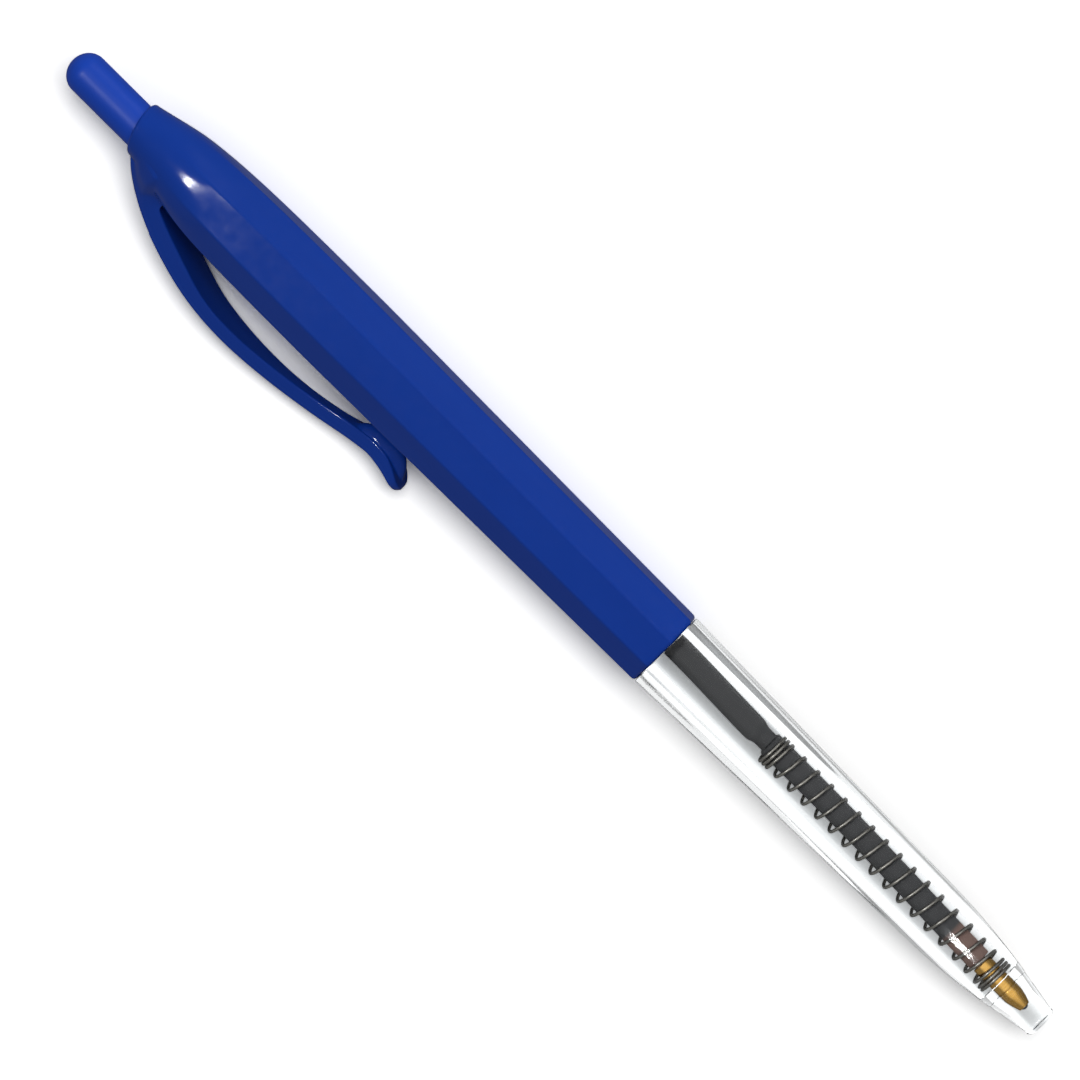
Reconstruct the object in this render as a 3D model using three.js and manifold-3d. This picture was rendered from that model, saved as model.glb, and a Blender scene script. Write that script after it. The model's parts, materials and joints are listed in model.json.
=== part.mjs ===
// Push-button ballpoint pen with an eight-sided barrel, a moulded clip and a clear front.
// Units are millimetres. The pen is drawn upright, nose at z = 0, with its clip towards +X,
// and is then laid down on its clip and one barrel edge, nose towards +X.

import * as THREE from "three";
import { mergeVertices } from "three/addons/utils/BufferGeometryUtils.js";
import Module from "manifold-3d";

const wasm = await Module();
wasm.setup();

// Lengths along the pen
const noseToJoint = 54.5; // clear front, up to the seam
const seamGap = 0.3; // between the clear shoulder and the coloured barrel
const barrelLength = 76.35; // coloured barrel, seam to the middle of the mouth
const buttonShow = 9.85; // button standing out of the mouth, at rest
const spigotLength = 11.7; // clear barrel inside the coloured one

// Outside of the coloured barrel: radii are to the eight corners
const jointR = 4.69;
const bellyR = 5.09;
const bellyDrop = 31.1; // widest place, below the mouth
const neckHandle = 24.5; // how far the neck curve leaves the belly straight
const mouthHandle = 9.3;
const mouthSlope = 0.21;
const mouthRound = 0.3;
const rimWall = 0.12; // flat left round the button at the mouth
const mouthLean = 16; // degrees, lower on the clip side
const fadeStart = 14; // flats start to fade this far below the mouth
const fadeEnd = 4.5; // and are gone here
const edgeRound = 0.45; // round edge at the seam end

// Bore and push mechanism
const boreR = 3.45;
const socketR = 3.62; // wider bore that takes the clear spigot
const fitGap = 0.1;
const neckDepth = 9.1; // mouth to the inner shoulder that stops the button
const stemR = 2.285;
const stemGap = 0.1;
const domeHeight = 2.1;
const skirtStep = 0.215; // skirt wider than the stem
const skirtLength = 9.6;
const guideGap = 0.25;
const runGap = 0.25; // splines and rotor ribs to the bore
const seatGap = 0.3; // between pieces that bear on each other end to end
const toothDepth = 1.0;
const toothGap = 0.12;
const slotStart = 0.6; // degrees from a tooth's tip
const slotWidth = 32;
const splineSlack = 2; // degrees each side of a spline
const rotorRibStart = 2; // degrees from a tooth's tip
const rotorRibWidth = 18;
const rotorRibLength = 5;
const rotorNeck = 1.0; // rotor between the refill's end and its ribs
const rotorSocket = 2.5; // how deep the refill sits in the rotor
const rotorWall = 0.35;
const pilotR = 1.1; // rotor's pin inside the button
const pilotLength = 4;
const pilotGap = 0.15;
const pinChamfer = 0.4;
const buttonBoreEnd = 12; // bore stops this far above the skirt
const latchAdvance = 4.4; // how far the latched rotor holds the refill forward

// Clip: places are measured down from the mouth and out from the pen's axis
const clipRootDrop = 1.7;
const clipRootR = 2.75;
const clipRise = 3.8; // root handle, outwards
const clipRun = 3.0; // root handle, downwards
const clipCrestDrop = 23.2;
const clipCrestR = 11.07;
const crestHandleUp = 10;
const crestHandleDown = 9.5;
const clipPinchDrop = 40.4;
const clipPinchR = 8.34;
const pinchHandleUp = 1.5;
const pinchHandleDown = 2.7;
const clipTipDrop = 45.0;
const clipTipR = 9.62;
const clipRootThickness = 2.5;
const clipThickness = 1.88;
const clipTipThickness = 1.0;
const rootThinFrom = 10; // the root thins down between these two places
const rootThinTo = 19;
const tipThinFrom = 41.2; // and the tip from here on
const clipCrown = 0.15; // outer face stands this much prouder in its middle
const clipEase = 0.35; // eased corners of the clip
const clipRootWidth = 4.2;
const clipWaistWidth = 1.45;
const clipTipWidth = 3.2;
const waistFrom = 13; // narrowing begins here and ends at the next value
const waistTo = 33.4;
const flareFrom = 35.4;
const flareTo = 45.2;
const tipRound = 1.5;
const tipEndShare = 0.3; // width left at the very end, as a share
const beadDrop = 41.0; // bead that grips the pocket
const beadLength = 5.4;
const beadWidth = 2.2;
const beadGap = 0.3;

// Clear front barrel
const noseTaperEnd = 16; // straight taper ends here and the nose curve begins
const noseTaperR = 3.66;
const noseHandle = 5.5;
const noseDip = 0.1;
const tipHandle = 4.2;
const tipHandleRise = 0.76;
const noseWall = 0.57; // at the start of the round edge
const noseEdge = 0.35;
const noseStepAt = 5.0;
const noseStep = 0.05;
const roundFrom = 46; // flats fade between these two places
const roundTo = 16;
const springSeat = 6.3;
const reliefAt = 5.05;
const reliefFrom = 3.2;
const frontBoreGrowth = 0.3; // the bore widens this much from the spring seat to the spigot's end
const pointGap = 0.13;
const tubeGap = 0.2;
const springGap = 0.21;
const spigotChamfer = 0.4; // along the spigot's end
const spigotChamferDepth = 0.25;

// Refill
const tipRetract = 2.4; // ball's front, behind the nose's end
const ballR = 0.5;
const ballGap = 0.03;
const pointR = 1.12;
const pointCone = 2.0; // length of the pointed part
const lipAhead = 0.24; // lip of the ball's seat, ahead of the ball's middle
const lipWall = 0.15;
const coneBulgeR = 1.04; // pull of the cone's curve
const inkHoleR = 0.22;
const collarLength = 4.6;
const collarEase = 0.15;
const shankLength = 4.5;
const shankGap = 0.1;
const tubeR = 1.3;
const tubeWall = 0.45;
const inkGap = 0.07;
const inkEmpty = 14; // top of the tube that the ink has left
const wingOver = 0.05; // wings reach this far past the coil's middle
const wingPinch = 0.35; // how far the tube is squeezed between them
const wingLength = 2.1;
const wingStep = 0.25; // the squeeze begins this abruptly
const wingFade = 0.42; // and fades over this length
const wingAngle = 124; // degrees from the clip

// Return spring
const wireR = 0.19;
const coilR = 1.9;
const springLength = 33.6;
const activeTurns = 15.5;
const closedTurns = 1.5;
const closedPitch = 0.84;

// Joined solids run this far into each other
const lap = 0.2;

// Resolution
const sides = 8;
const barrelSteps = 32;
const turnedSteps = 32;
const toothSteps = 9; // degrees
const fineSteps = 24;
const neckSteps = 20;
const noseSteps = 14;
const clipSteps = 32;
const roundSteps = 5;
const wireSides = 5;
const coilSteps = 8;

const radians = THREE.MathUtils.degToRad;
const smoothstep = THREE.MathUtils.smoothstep;
const lerp = THREE.MathUtils.lerp;

// Places worked out from the sizes above
const seamZ = noseToJoint + seamGap;
const mouthZ = seamZ + barrelLength;
const bellyZ = mouthZ - bellyDrop;
const penLength = mouthZ + buttonShow;
const stopZ = mouthZ - neckDepth;
const skirtTopZ = stopZ - seatGap;
const crownZ = skirtTopZ - skirtLength;
const ribTopZ = crownZ - toothGap;
const ribBottomZ = ribTopZ - rotorRibLength;
const tailZ = ribBottomZ - rotorNeck;
const skirtR = stemR + skirtStep;
const neckHoleR = stemR + stemGap;
const guideR = skirtR + guideGap;
const runR = boreR - runGap;
const spigotR = socketR - fitGap;
const spigotEndZ = noseToJoint + spigotLength;
const socketEndZ = spigotEndZ + seatGap;
const springBottomZ = springSeat + seatGap;
const springTopZ = springBottomZ + springLength;
const wingZ = springTopZ + seatGap;
const collarBackZ = tipRetract + pointCone + collarLength;
const tubeFrontZ = collarBackZ + seatGap;
const shankBackZ = collarBackZ + shankLength;
const chamberR = coilR + wireR + springGap;
const spigotBoreR = chamberR + frontBoreGrowth;
const noseHoleR = pointR + pointGap;
const reliefR = tubeR + tubeGap;

// Turns a closed geometry into a solid that can be joined and cut
function solidOf(geometry) {
  const bare = geometry.clone();
  bare.deleteAttribute("normal");
  bare.deleteAttribute("uv");
  const merged = mergeVertices(bare, 1e-5);
  const index = merged.index.array;
  const corners = [];
  for (let i = 0; i < index.length; i += 3) {
    const [a, b, c] = [index[i], index[i + 1], index[i + 2]];
    if (a !== b && b !== c && c !== a) corners.push(a, b, c);
  }
  const mesh = new wasm.Mesh({
    numProp: 3,
    vertProperties: new Float32Array(merged.attributes.position.array),
    triVerts: new Uint32Array(corners),
  });
  return new wasm.Manifold(mesh);
}

// Turns a solid back into a geometry with flat faces
function geometryOf(solid) {
  const mesh = solid.getMesh();
  const geometry = new THREE.BufferGeometry();
  geometry.setAttribute("position", new THREE.BufferAttribute(mesh.vertProperties, 3));
  geometry.setIndex(new THREE.BufferAttribute(mesh.triVerts, 1));
  const flat = geometry.toNonIndexed();
  flat.computeVertexNormals();
  return flat;
}

// Joins rings of points into one closed surface. Rings either close on themselves as a loop
// of rings, or are capped at both ends.
function loft(rings, looped) {
  const count = rings[0].length;
  const points = rings.flat();
  const faces = [];
  const spans = looped ? rings.length : rings.length - 1;
  for (let r = 0; r < spans; r++) {
    const here = r * count;
    const next = ((r + 1) % rings.length) * count;
    for (let i = 0; i < count; i++) {
      const j = (i + 1) % count;
      faces.push(here + i, here + j, next + j, here + i, next + j, next + i);
    }
  }
  if (!looped) {
    const last = (rings.length - 1) * count;
    for (let i = 1; i < count - 1; i++) {
      faces.push(0, i + 1, i);
      faces.push(last, last + i, last + i + 1);
    }
  }
  return outward(points, faces);
}

// Builds a geometry whose faces point out, whichever way the rings ran
function outward(points, faces) {
  let volume = 0;
  const cross = new THREE.Vector3();
  for (let i = 0; i < faces.length; i += 3) {
    const [a, b, c] = [points[faces[i]], points[faces[i + 1]], points[faces[i + 2]]];
    volume += a.dot(cross.crossVectors(b, c));
  }
  const index = volume > 0 ? faces : faces.slice().reverse();
  const geometry = new THREE.BufferGeometry().setFromPoints(points);
  geometry.setIndex(index);
  return geometry;
}

// Revolves a closed outline of [radius, z] pairs about the pen's axis
function turned(outline, steps = turnedSteps) {
  const closed = [...outline, outline[0]].map(([r, z]) => new THREE.Vector2(r, z));
  const lathe = new THREE.LatheGeometry(closed, steps);
  lathe.rotateX(Math.PI / 2);
  const position = lathe.attributes.position;
  const points = [];
  for (let i = 0; i < position.count; i++) {
    points.push(new THREE.Vector3().fromBufferAttribute(position, i));
  }
  return outward(points, Array.from(lathe.index.array));
}

// Sector of a ring between two radii and two angles, in degrees, whose lower face follows low(angle)
function sector(innerR, outerR, from, to, low, highZ) {
  const angles = [from];
  const first = Math.floor(from / toothSteps) + 1;
  for (let k = first; k * toothSteps < to; k++) angles.push(k * toothSteps);
  const whole = to - from >= 360;
  if (!whole) angles.push(to);
  const rings = angles.map((angle) => {
    const x = Math.cos(radians(angle));
    const y = Math.sin(radians(angle));
    return [
      new THREE.Vector3(innerR * x, innerR * y, low(angle)),
      new THREE.Vector3(outerR * x, outerR * y, low(angle)),
      new THREE.Vector3(outerR * x, outerR * y, highZ),
      new THREE.Vector3(innerR * x, innerR * y, highZ),
    ];
  });
  return loft(rings, whole);
}

// Height of the saw teeth above their tips: eight teeth, a long flank and a short return
function saw(angle) {
  const pitch = 360 / sides;
  const flank = pitch - toothSteps;
  const along = ((angle % pitch) + pitch) % pitch;
  return along <= flank ? (toothDepth * along) / flank : (toothDepth * (pitch - along)) / toothSteps;
}

// Ring of the barrel: a circle that is flattened to eight sides, with a corner over the clip
function barrelRing(z, cornerR, flatness, lean = 0) {
  const ring = [];
  const half = Math.PI / sides;
  for (let i = 0; i < barrelSteps; i++) {
    const angle = (i / barrelSteps) * 2 * Math.PI;
    const fromFlat = (angle % (2 * half)) - half;
    const r = cornerR * lerp(1, Math.cos(half) / Math.cos(fromFlat), flatness);
    const x = r * Math.cos(angle);
    ring.push(new THREE.Vector3(x, r * Math.sin(angle), z - lean * x));
  }
  return ring;
}

// Quarter round from a face to a side: pairs of [inset of the radius, distance from the face]
function quarterRound(size, steps = 3) {
  const pairs = [];
  for (let i = 0; i <= steps; i++) {
    const angle = ((i / steps) * Math.PI) / 2;
    pairs.push([size * (1 - Math.sin(angle)), size * (1 - Math.cos(angle))]);
  }
  return pairs;
}

// Corner radius of the coloured barrel at a place on its straight taper
function taperR(z) {
  return lerp(jointR, bellyR, (z - seamZ) / (bellyZ - seamZ));
}

function coloredOutside() {
  const rings = [];
  for (const [inset, up] of quarterRound(edgeRound)) {
    rings.push(barrelRing(seamZ + up, taperR(seamZ + up) - inset, 1));
  }
  const rimR = neckHoleR + rimWall + mouthRound;
  const rimZ = mouthZ - mouthRound;
  const neck = new THREE.CubicBezierCurve(
    new THREE.Vector2(bellyZ, bellyR),
    new THREE.Vector2(bellyZ + neckHandle, bellyR),
    new THREE.Vector2(rimZ - mouthHandle, rimR + mouthHandle * mouthSlope),
    new THREE.Vector2(rimZ, rimR),
  );
  const lean = Math.tan(radians(mouthLean));
  const fade = (z) => smoothstep(z, mouthZ - fadeStart, mouthZ - fadeEnd);
  for (const { x: z, y: r } of neck.getPoints(neckSteps)) {
    rings.push(barrelRing(z, r, 1 - fade(z), lean * fade(z)));
  }
  for (const [inset, below] of quarterRound(mouthRound).reverse().slice(1)) {
    rings.push(barrelRing(mouthZ - below, rimR - inset, 0, lean));
  }
  return solidOf(loft(rings, false));
}

// Width of the clip at a distance below the mouth
function clipWidth(drop) {
  const waist = lerp(clipRootWidth, clipWaistWidth, smoothstep(drop, waistFrom, waistTo));
  return lerp(waist, clipTipWidth, smoothstep(drop, flareFrom, flareTo));
}

// Thickness of the clip at a distance below the mouth
function clipDepth(drop) {
  const strip = lerp(clipRootThickness, clipThickness, smoothstep(drop, rootThinFrom, rootThinTo));
  return lerp(strip, clipTipThickness, smoothstep(drop, tipThinFrom, clipTipDrop));
}

// Outer line of the clip, as a path in the plane of the clip: x is radius and z is height
function clipPath() {
  const at = (drop, r) => new THREE.Vector3(r, 0, mouthZ - drop);
  const path = new THREE.CurvePath();
  path.add(new THREE.CubicBezierCurve3(
    at(clipRootDrop, clipRootR),
    at(clipRootDrop + clipRun, clipRootR + clipRise),
    at(clipCrestDrop - crestHandleUp, clipCrestR),
    at(clipCrestDrop, clipCrestR),
  ));
  path.add(new THREE.CubicBezierCurve3(
    at(clipCrestDrop, clipCrestR),
    at(clipCrestDrop + crestHandleDown, clipCrestR),
    at(clipPinchDrop - pinchHandleUp, clipPinchR),
    at(clipPinchDrop, clipPinchR),
  ));
  path.add(new THREE.QuadraticBezierCurve3(
    at(clipPinchDrop, clipPinchR),
    at(clipPinchDrop + pinchHandleDown, clipPinchR),
    at(clipTipDrop, clipTipR),
  ));
  return path;
}

// Section of the clip: across the strip and inwards from its outer line, with eased corners
function clipSection(width, thickness) {
  const half = width / 2;
  const ease = Math.min(clipEase, half / 3, thickness / 3);
  const side = (sign) => [
    [sign * (half - 2 * ease), clipCrown / 3],
    [sign * (half - ease / 3), clipCrown + ease / 2],
    [sign * half, clipCrown + ease],
    [sign * half, thickness - ease],
    [sign * (half - ease), thickness],
  ];
  return [[0, 0], ...side(1), ...side(-1).reverse()];
}

// Places of the clip's rings along its length: even, then closer round the tip
function clipStations(length) {
  const straight = length - tipRound;
  const stations = [];
  for (let i = 0; i <= clipSteps; i++) stations.push((straight * i) / clipSteps);
  for (let i = 1; i <= roundSteps; i++) {
    stations.push(straight + tipRound * Math.sin(((i / roundSteps) * Math.PI) / 2));
  }
  return stations;
}

function clipStrip() {
  const path = clipPath();
  const length = path.getLength();
  const rings = clipStations(length).map((place) => {
    const u = Math.min(place / length, 0.9999);
    const point = path.getPointAt(u);
    const along = path.getTangentAt(u);
    const inward = new THREE.Vector3(along.z, 0, -along.x);
    const drop = mouthZ - point.z;
    const left = Math.min(length - place, tipRound);
    const bow = Math.sqrt(1 - (1 - left / tipRound) ** 2);
    const width = clipWidth(drop) * lerp(tipEndShare, 1, bow);
    return clipSection(width, clipDepth(drop)).map(([across, depth]) =>
      new THREE.Vector3(point.x + inward.x * depth, across, point.z + inward.z * depth));
  });
  return solidOf(loft(rings, false));
}

// Bead under the clip, reaching down to just clear of the barrel's corner
function clipBead() {
  const z = mouthZ - beadDrop;
  const foot = taperR(z) + beadGap;
  const top = clipPinchR - clipThickness + lap;
  const ball = new THREE.SphereGeometry(1, 12, 8);
  ball.scale(top - foot, beadWidth / 2, beadLength / 2);
  ball.translate(top, 0, z);
  return solidOf(ball);
}

// Room inside the coloured barrel: socket for the clear spigot, bore, and hole for the button
function coloredBore() {
  const below = seamZ - 1;
  const above = mouthZ + 2;
  return solidOf(turned([
    [0, below],
    [socketR, below],
    [socketR, socketEndZ],
    [boreR, socketEndZ],
    [boreR, stopZ],
    [neckHoleR, stopZ],
    [neckHoleR, above],
    [0, above],
  ]));
}

// Four guide ribs, whose saw-cut lower ends catch the rotor
function guideRibs() {
  const low = (angle) => ribTopZ - latchAdvance + saw(angle);
  const ribs = [];
  for (let k = 0; k < 4; k++) {
    const from = 90 * k + slotStart + slotWidth;
    const to = 90 * (k + 1) + slotStart;
    ribs.push(solidOf(sector(guideR, boreR + lap, from, to, low, stopZ + lap)));
  }
  return ribs;
}

function upperBarrel() {
  let solid = coloredOutside().add(clipStrip()).add(clipBead()).subtract(coloredBore());
  for (const rib of guideRibs()) solid = solid.add(rib);
  return geometryOf(solid);
}

// Outline of the clear barrel, from its round nose edge back to the seam: [z, corner radius, flatness]
function frontOutline() {
  const edgeR = noseHoleR + noseWall;
  const outline = quarterRound(noseEdge).map(([inset, up]) => [up, edgeR - inset, 0]);
  const slope = (jointR - noseTaperR) / (noseToJoint - noseTaperEnd);
  const nose = new THREE.CubicBezierCurve(
    new THREE.Vector2(noseEdge, edgeR),
    new THREE.Vector2(noseEdge + tipHandle, edgeR + tipHandleRise),
    new THREE.Vector2(noseTaperEnd - noseHandle, noseTaperR - noseDip),
    new THREE.Vector2(noseTaperEnd, noseTaperR),
  );
  for (const { x: z, y: r } of nose.getPoints(noseSteps).slice(1)) {
    outline.push([z, r - (z < noseStepAt ? noseStep : 0), 0]);
  }
  for (let i = 1; i <= 6; i++) {
    const z = lerp(roundTo, roundFrom, i / 6);
    const r = noseTaperR + slope * (z - noseTaperEnd);
    outline.push([z, r, smoothstep(z, roundTo, roundFrom)]);
  }
  outline.push([noseToJoint, jointR, 1]);
  return outline;
}

function frontBarrel() {
  const rings = frontOutline().map(([z, r, flatness]) => barrelRing(z, r, flatness));
  const circle = (z, r) => barrelRing(z, r, 0);
  rings.push(circle(noseToJoint, spigotR));
  rings.push(circle(spigotEndZ - spigotChamfer, spigotR));
  rings.push(circle(spigotEndZ, spigotR - spigotChamferDepth));
  rings.push(circle(spigotEndZ, spigotBoreR));
  rings.push(circle(springSeat, chamberR));
  rings.push(circle(springSeat, reliefR));
  rings.push(circle(reliefAt, reliefR));
  rings.push(circle(reliefFrom, noseHoleR));
  rings.push(circle(0, noseHoleR));
  return loft(rings, true);
}

// Button: domed stem, wider skirt with four splines and a crown of teeth, bored from below
function pushButton() {
  const stem = [[0, skirtTopZ - lap], [stemR, skirtTopZ - lap]];
  for (let i = 0; i < 8; i++) {
    const angle = ((i / 8) * Math.PI) / 2;
    stem.push([stemR * Math.cos(angle), penLength - domeHeight * (1 - Math.sin(angle))]);
  }
  stem.push([0, penLength]);
  const teeth = (angle) => crownZ + saw(angle);
  let solid = solidOf(turned(stem)).add(solidOf(sector(pilotR / 2, skirtR, 0, 360, teeth, skirtTopZ)));
  const splineFoot = (angle) => teeth(angle) + lap;
  for (let k = 0; k < 4; k++) {
    const from = 90 * k + slotStart + splineSlack;
    const to = 90 * k + slotStart + slotWidth - splineSlack;
    solid = solid.add(solidOf(sector(skirtR - lap, runR, from, to, splineFoot, skirtTopZ)));
  }
  const bore = pilotR + pilotGap;
  const boreTop = skirtTopZ + buttonBoreEnd;
  const room = turned([[0, crownZ - 1], [bore, crownZ - 1], [bore, boreTop], [0, boreTop + bore / 2]]);
  return geometryOf(solid.subtract(solidOf(room)));
}

// Rotor: hub on the refill's tail, four ribs with slanted tops, and a pin that runs inside the button
function rotor() {
  const hubR = tubeR + fitGap + rotorWall;
  const bottomZ = tailZ - rotorSocket;
  const hubTopZ = crownZ - seatGap;
  const pinTopZ = crownZ + pilotLength;
  const body = turned([
    [0, bottomZ],
    [hubR, bottomZ],
    [hubR, hubTopZ],
    [pilotR, hubTopZ],
    [pilotR, pinTopZ - pinChamfer],
    [pilotR - pinChamfer, pinTopZ],
    [0, pinTopZ],
  ]);
  let solid = solidOf(body);
  const rib = solidOf(ribBlock());
  for (let k = 0; k < 4; k++) solid = solid.add(rib.rotate([0, 0, 90 * k]));
  const socketTopZ = tailZ + seatGap;
  const socket = turned([
    [0, bottomZ - 1],
    [tubeR + fitGap, bottomZ - 1],
    [tubeR + fitGap, socketTopZ],
    [0, socketTopZ],
  ]);
  return geometryOf(solid.subtract(solidOf(socket)));
}

// One rib of the rotor: a sector whose top follows the flank of a tooth
function ribBlock() {
  const hubLap = pilotR - lap;
  const rings = [];
  for (let i = 0; i <= 2; i++) {
    const angle = rotorRibStart + (rotorRibWidth * i) / 2;
    const x = Math.cos(radians(angle));
    const y = Math.sin(radians(angle));
    const top = ribTopZ + saw(angle);
    rings.push([
      new THREE.Vector3(hubLap * x, hubLap * y, ribBottomZ),
      new THREE.Vector3(runR * x, runR * y, ribBottomZ),
      new THREE.Vector3(runR * x, runR * y, top),
      new THREE.Vector3(hubLap * x, hubLap * y, top),
    ]);
  }
  return loft(rings, false);
}

// Oval ring of the refill tube, long half-axis towards the wings
function ovalRing(z, long, short) {
  const ring = [];
  for (let i = 0; i < fineSteps; i++) {
    const angle = (i / fineSteps) * 2 * Math.PI;
    const p = new THREE.Vector3(long * Math.cos(angle), short * Math.sin(angle), z);
    ring.push(p.applyAxisAngle(new THREE.Vector3(0, 0, 1), radians(wingAngle)));
  }
  return ring;
}

// Places where the tube is squeezed: [z, share of the full squeeze]
function squeeze() {
  return [
    [wingZ - wingStep, 0],
    [wingZ, 1],
    [wingZ + wingLength - 2 * wingFade, 1],
    [wingZ + wingLength - wingFade, 0.5],
    [wingZ + wingLength, 0],
  ];
}

// Rings up a tube of radius r, whose long and short half-axes change at the squeeze
function squeezedRings(lowZ, highZ, r, wide, narrow) {
  const rings = [ovalRing(lowZ, r, r)];
  for (const [z, share] of squeeze()) {
    rings.push(ovalRing(z, lerp(r, wide, share), lerp(r, narrow, share)));
  }
  rings.push(ovalRing(highZ, r, r));
  return rings;
}

const tubeBoreR = tubeR - tubeWall;
const boreWide = tubeBoreR + 0.1;

function refillTube() {
  const outside = squeezedRings(tubeFrontZ, tailZ, tubeR, coilR + wingOver, tubeR - wingPinch);
  const inside = squeezedRings(tubeFrontZ, tailZ, tubeBoreR, boreWide, tubeBoreR - wingPinch);
  return loft([...outside, ...inside.reverse()], true);
}

function inkColumn() {
  const r = tubeBoreR - inkGap;
  const narrow = tubeBoreR - wingPinch - inkGap;
  return loft(squeezedRings(shankBackZ + seatGap, tailZ - inkEmpty, r, boreWide - inkGap, narrow), false);
}

// Brass point: pointed nose with the ball's seat, collar, and shank inside the tube
function pointSocket() {
  const ballZ = tipRetract + ballR;
  const seatR = ballR + ballGap;
  const lipR = Math.sqrt(seatR ** 2 - lipAhead ** 2);
  const lipZ = ballZ - lipAhead;
  const nose = new THREE.QuadraticBezierCurve(
    new THREE.Vector2(lipR + lipWall, lipZ),
    new THREE.Vector2(coneBulgeR, lipZ + pointCone / 2),
    new THREE.Vector2(pointR, tipRetract + pointCone),
  );
  const outline = nose.getPoints(6).map((p) => [p.x, p.y]);
  const shankR = tubeBoreR - shankGap;
  outline.push([pointR, collarBackZ - collarEase], [pointR - collarEase, collarBackZ]);
  outline.push([shankR, collarBackZ], [shankR, shankBackZ], [inkHoleR, shankBackZ]);
  const back = Math.acos(inkHoleR / seatR);
  const front = -Math.asin(lipAhead / seatR);
  for (let i = 0; i <= 6; i++) {
    const angle = lerp(back, front, i / 6);
    outline.push([seatR * Math.cos(angle), ballZ + seatR * Math.sin(angle)]);
  }
  return turned(outline, fineSteps);
}

function pointBall() {
  const ball = new THREE.SphereGeometry(ballR, 16, 12);
  ball.translate(0, 0, tipRetract + ballR);
  return geometryOf(solidOf(ball));
}

// Wire of the spring: a left-hand helix with close turns at both ends. The wire's middle is at
// radius coilR and rises closedPitch a turn at the ends and evenly in between.
function springLine() {
  const turns = activeTurns + 2 * closedTurns;
  const closedRise = closedTurns * closedPitch;
  const rise = springLength - 2 * wireR;
  const steps = Math.round(turns * coilSteps);
  const line = [];
  for (let i = 0; i <= steps; i++) {
    const turn = (turns * i) / steps;
    const active = THREE.MathUtils.clamp((turn - closedTurns) / activeTurns, 0, 1);
    const closed = Math.min(turn, closedTurns) + Math.max(turn - closedTurns - activeTurns, 0);
    const z = springBottomZ + wireR + closed * closedPitch + active * (rise - 2 * closedRise);
    const angle = -turn * 2 * Math.PI;
    line.push(new THREE.Vector3(coilR * Math.cos(angle), coilR * Math.sin(angle), z));
  }
  return line;
}

function returnSpring() {
  const line = springLine();
  const axis = new THREE.Vector3(0, 0, 1);
  const rings = line.map((point, i) => {
    const ahead = line[Math.min(i + 1, line.length - 1)];
    const behind = line[Math.max(i - 1, 0)];
    const along = ahead.clone().sub(behind).normalize();
    const out = new THREE.Vector3(point.x, point.y, 0).normalize();
    const up = along.clone().cross(out).normalize();
    if (up.dot(axis) < 0) up.negate();
    const side = up.clone().cross(along).normalize();
    const ring = [];
    for (let k = 0; k < wireSides; k++) {
      const angle = (k / wireSides) * 2 * Math.PI;
      ring.push(point.clone()
        .addScaledVector(side, wireR * Math.cos(angle))
        .addScaledVector(up, wireR * Math.sin(angle)));
    }
    return ring;
  });
  console.log(`Spring's least gap to itself: ${leastGap(rings).toFixed(2)} mm`);
  return loft(rings, false);
}

// Least distance between points of the wire that lie at least half a turn apart
function leastGap(rings) {
  let least = Infinity;
  for (let i = 0; i < rings.length; i++) {
    for (let j = i + coilSteps / 2; j < rings.length; j++) {
      for (const a of rings[i]) {
        for (const b of rings[j]) least = Math.min(least, a.distanceTo(b));
      }
    }
  }
  return least;
}

const finishes = {
  barrelBlue: { color: 0x123c9c, roughness: 0.22, metalness: 0 },
  buttonBlue: { color: 0x1440c0, roughness: 0.3, metalness: 0 },
  rotorWhite: { color: 0xe8e8e4, roughness: 0.4, metalness: 0 },
  clear: { color: 0xf2f6f8, roughness: 0.05, metalness: 0, transparent: true, opacity: 0.35 },
  tubeBlack: { color: 0x1b1b1d, roughness: 0.35, metalness: 0 },
  ink: { color: 0x060818, roughness: 0.3, metalness: 0 },
  brass: { color: 0xb08a35, roughness: 0.3, metalness: 1 },
  ballGrey: { color: 0x8a8c90, roughness: 0.2, metalness: 1 },
  steel: { color: 0x8e9094, roughness: 0.3, metalness: 1 },
};

const pieces = [
  ["upper_barrel", upperBarrel(), "barrelBlue"],
  ["front_barrel", frontBarrel(), "clear"],
  ["push_button", pushButton(), "buttonBlue"],
  ["rotor", rotor(), "rotorWhite"],
  ["refill_tube", refillTube(), "tubeBlack"],
  ["ink_column", inkColumn(), "ink"],
  ["point_socket", pointSocket(), "brass"],
  ["point_ball", pointBall(), "ballGrey"],
  ["return_spring", returnSpring(), "steel"],
];

// Angle below level at which the clip points when it and a barrel edge both touch the ground
function restingDroop(barrel) {
  const { position } = barrel.attributes;
  const drop = (angle, onClip) => {
    let lowest = 0;
    for (let i = 0; i < position.count; i++) {
      if (position.getX(i) > bellyR !== onClip) continue;
      const height = -position.getX(i) * Math.sin(angle) + position.getY(i) * Math.cos(angle);
      lowest = Math.min(lowest, height);
    }
    return lowest;
  };
  let [low, high] = [0, Math.PI / sides];
  for (let i = 0; i < 30; i++) {
    const angle = (low + high) / 2;
    if (drop(angle, true) > drop(angle, false)) low = angle;
    else high = angle;
  }
  return low;
}

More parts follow.
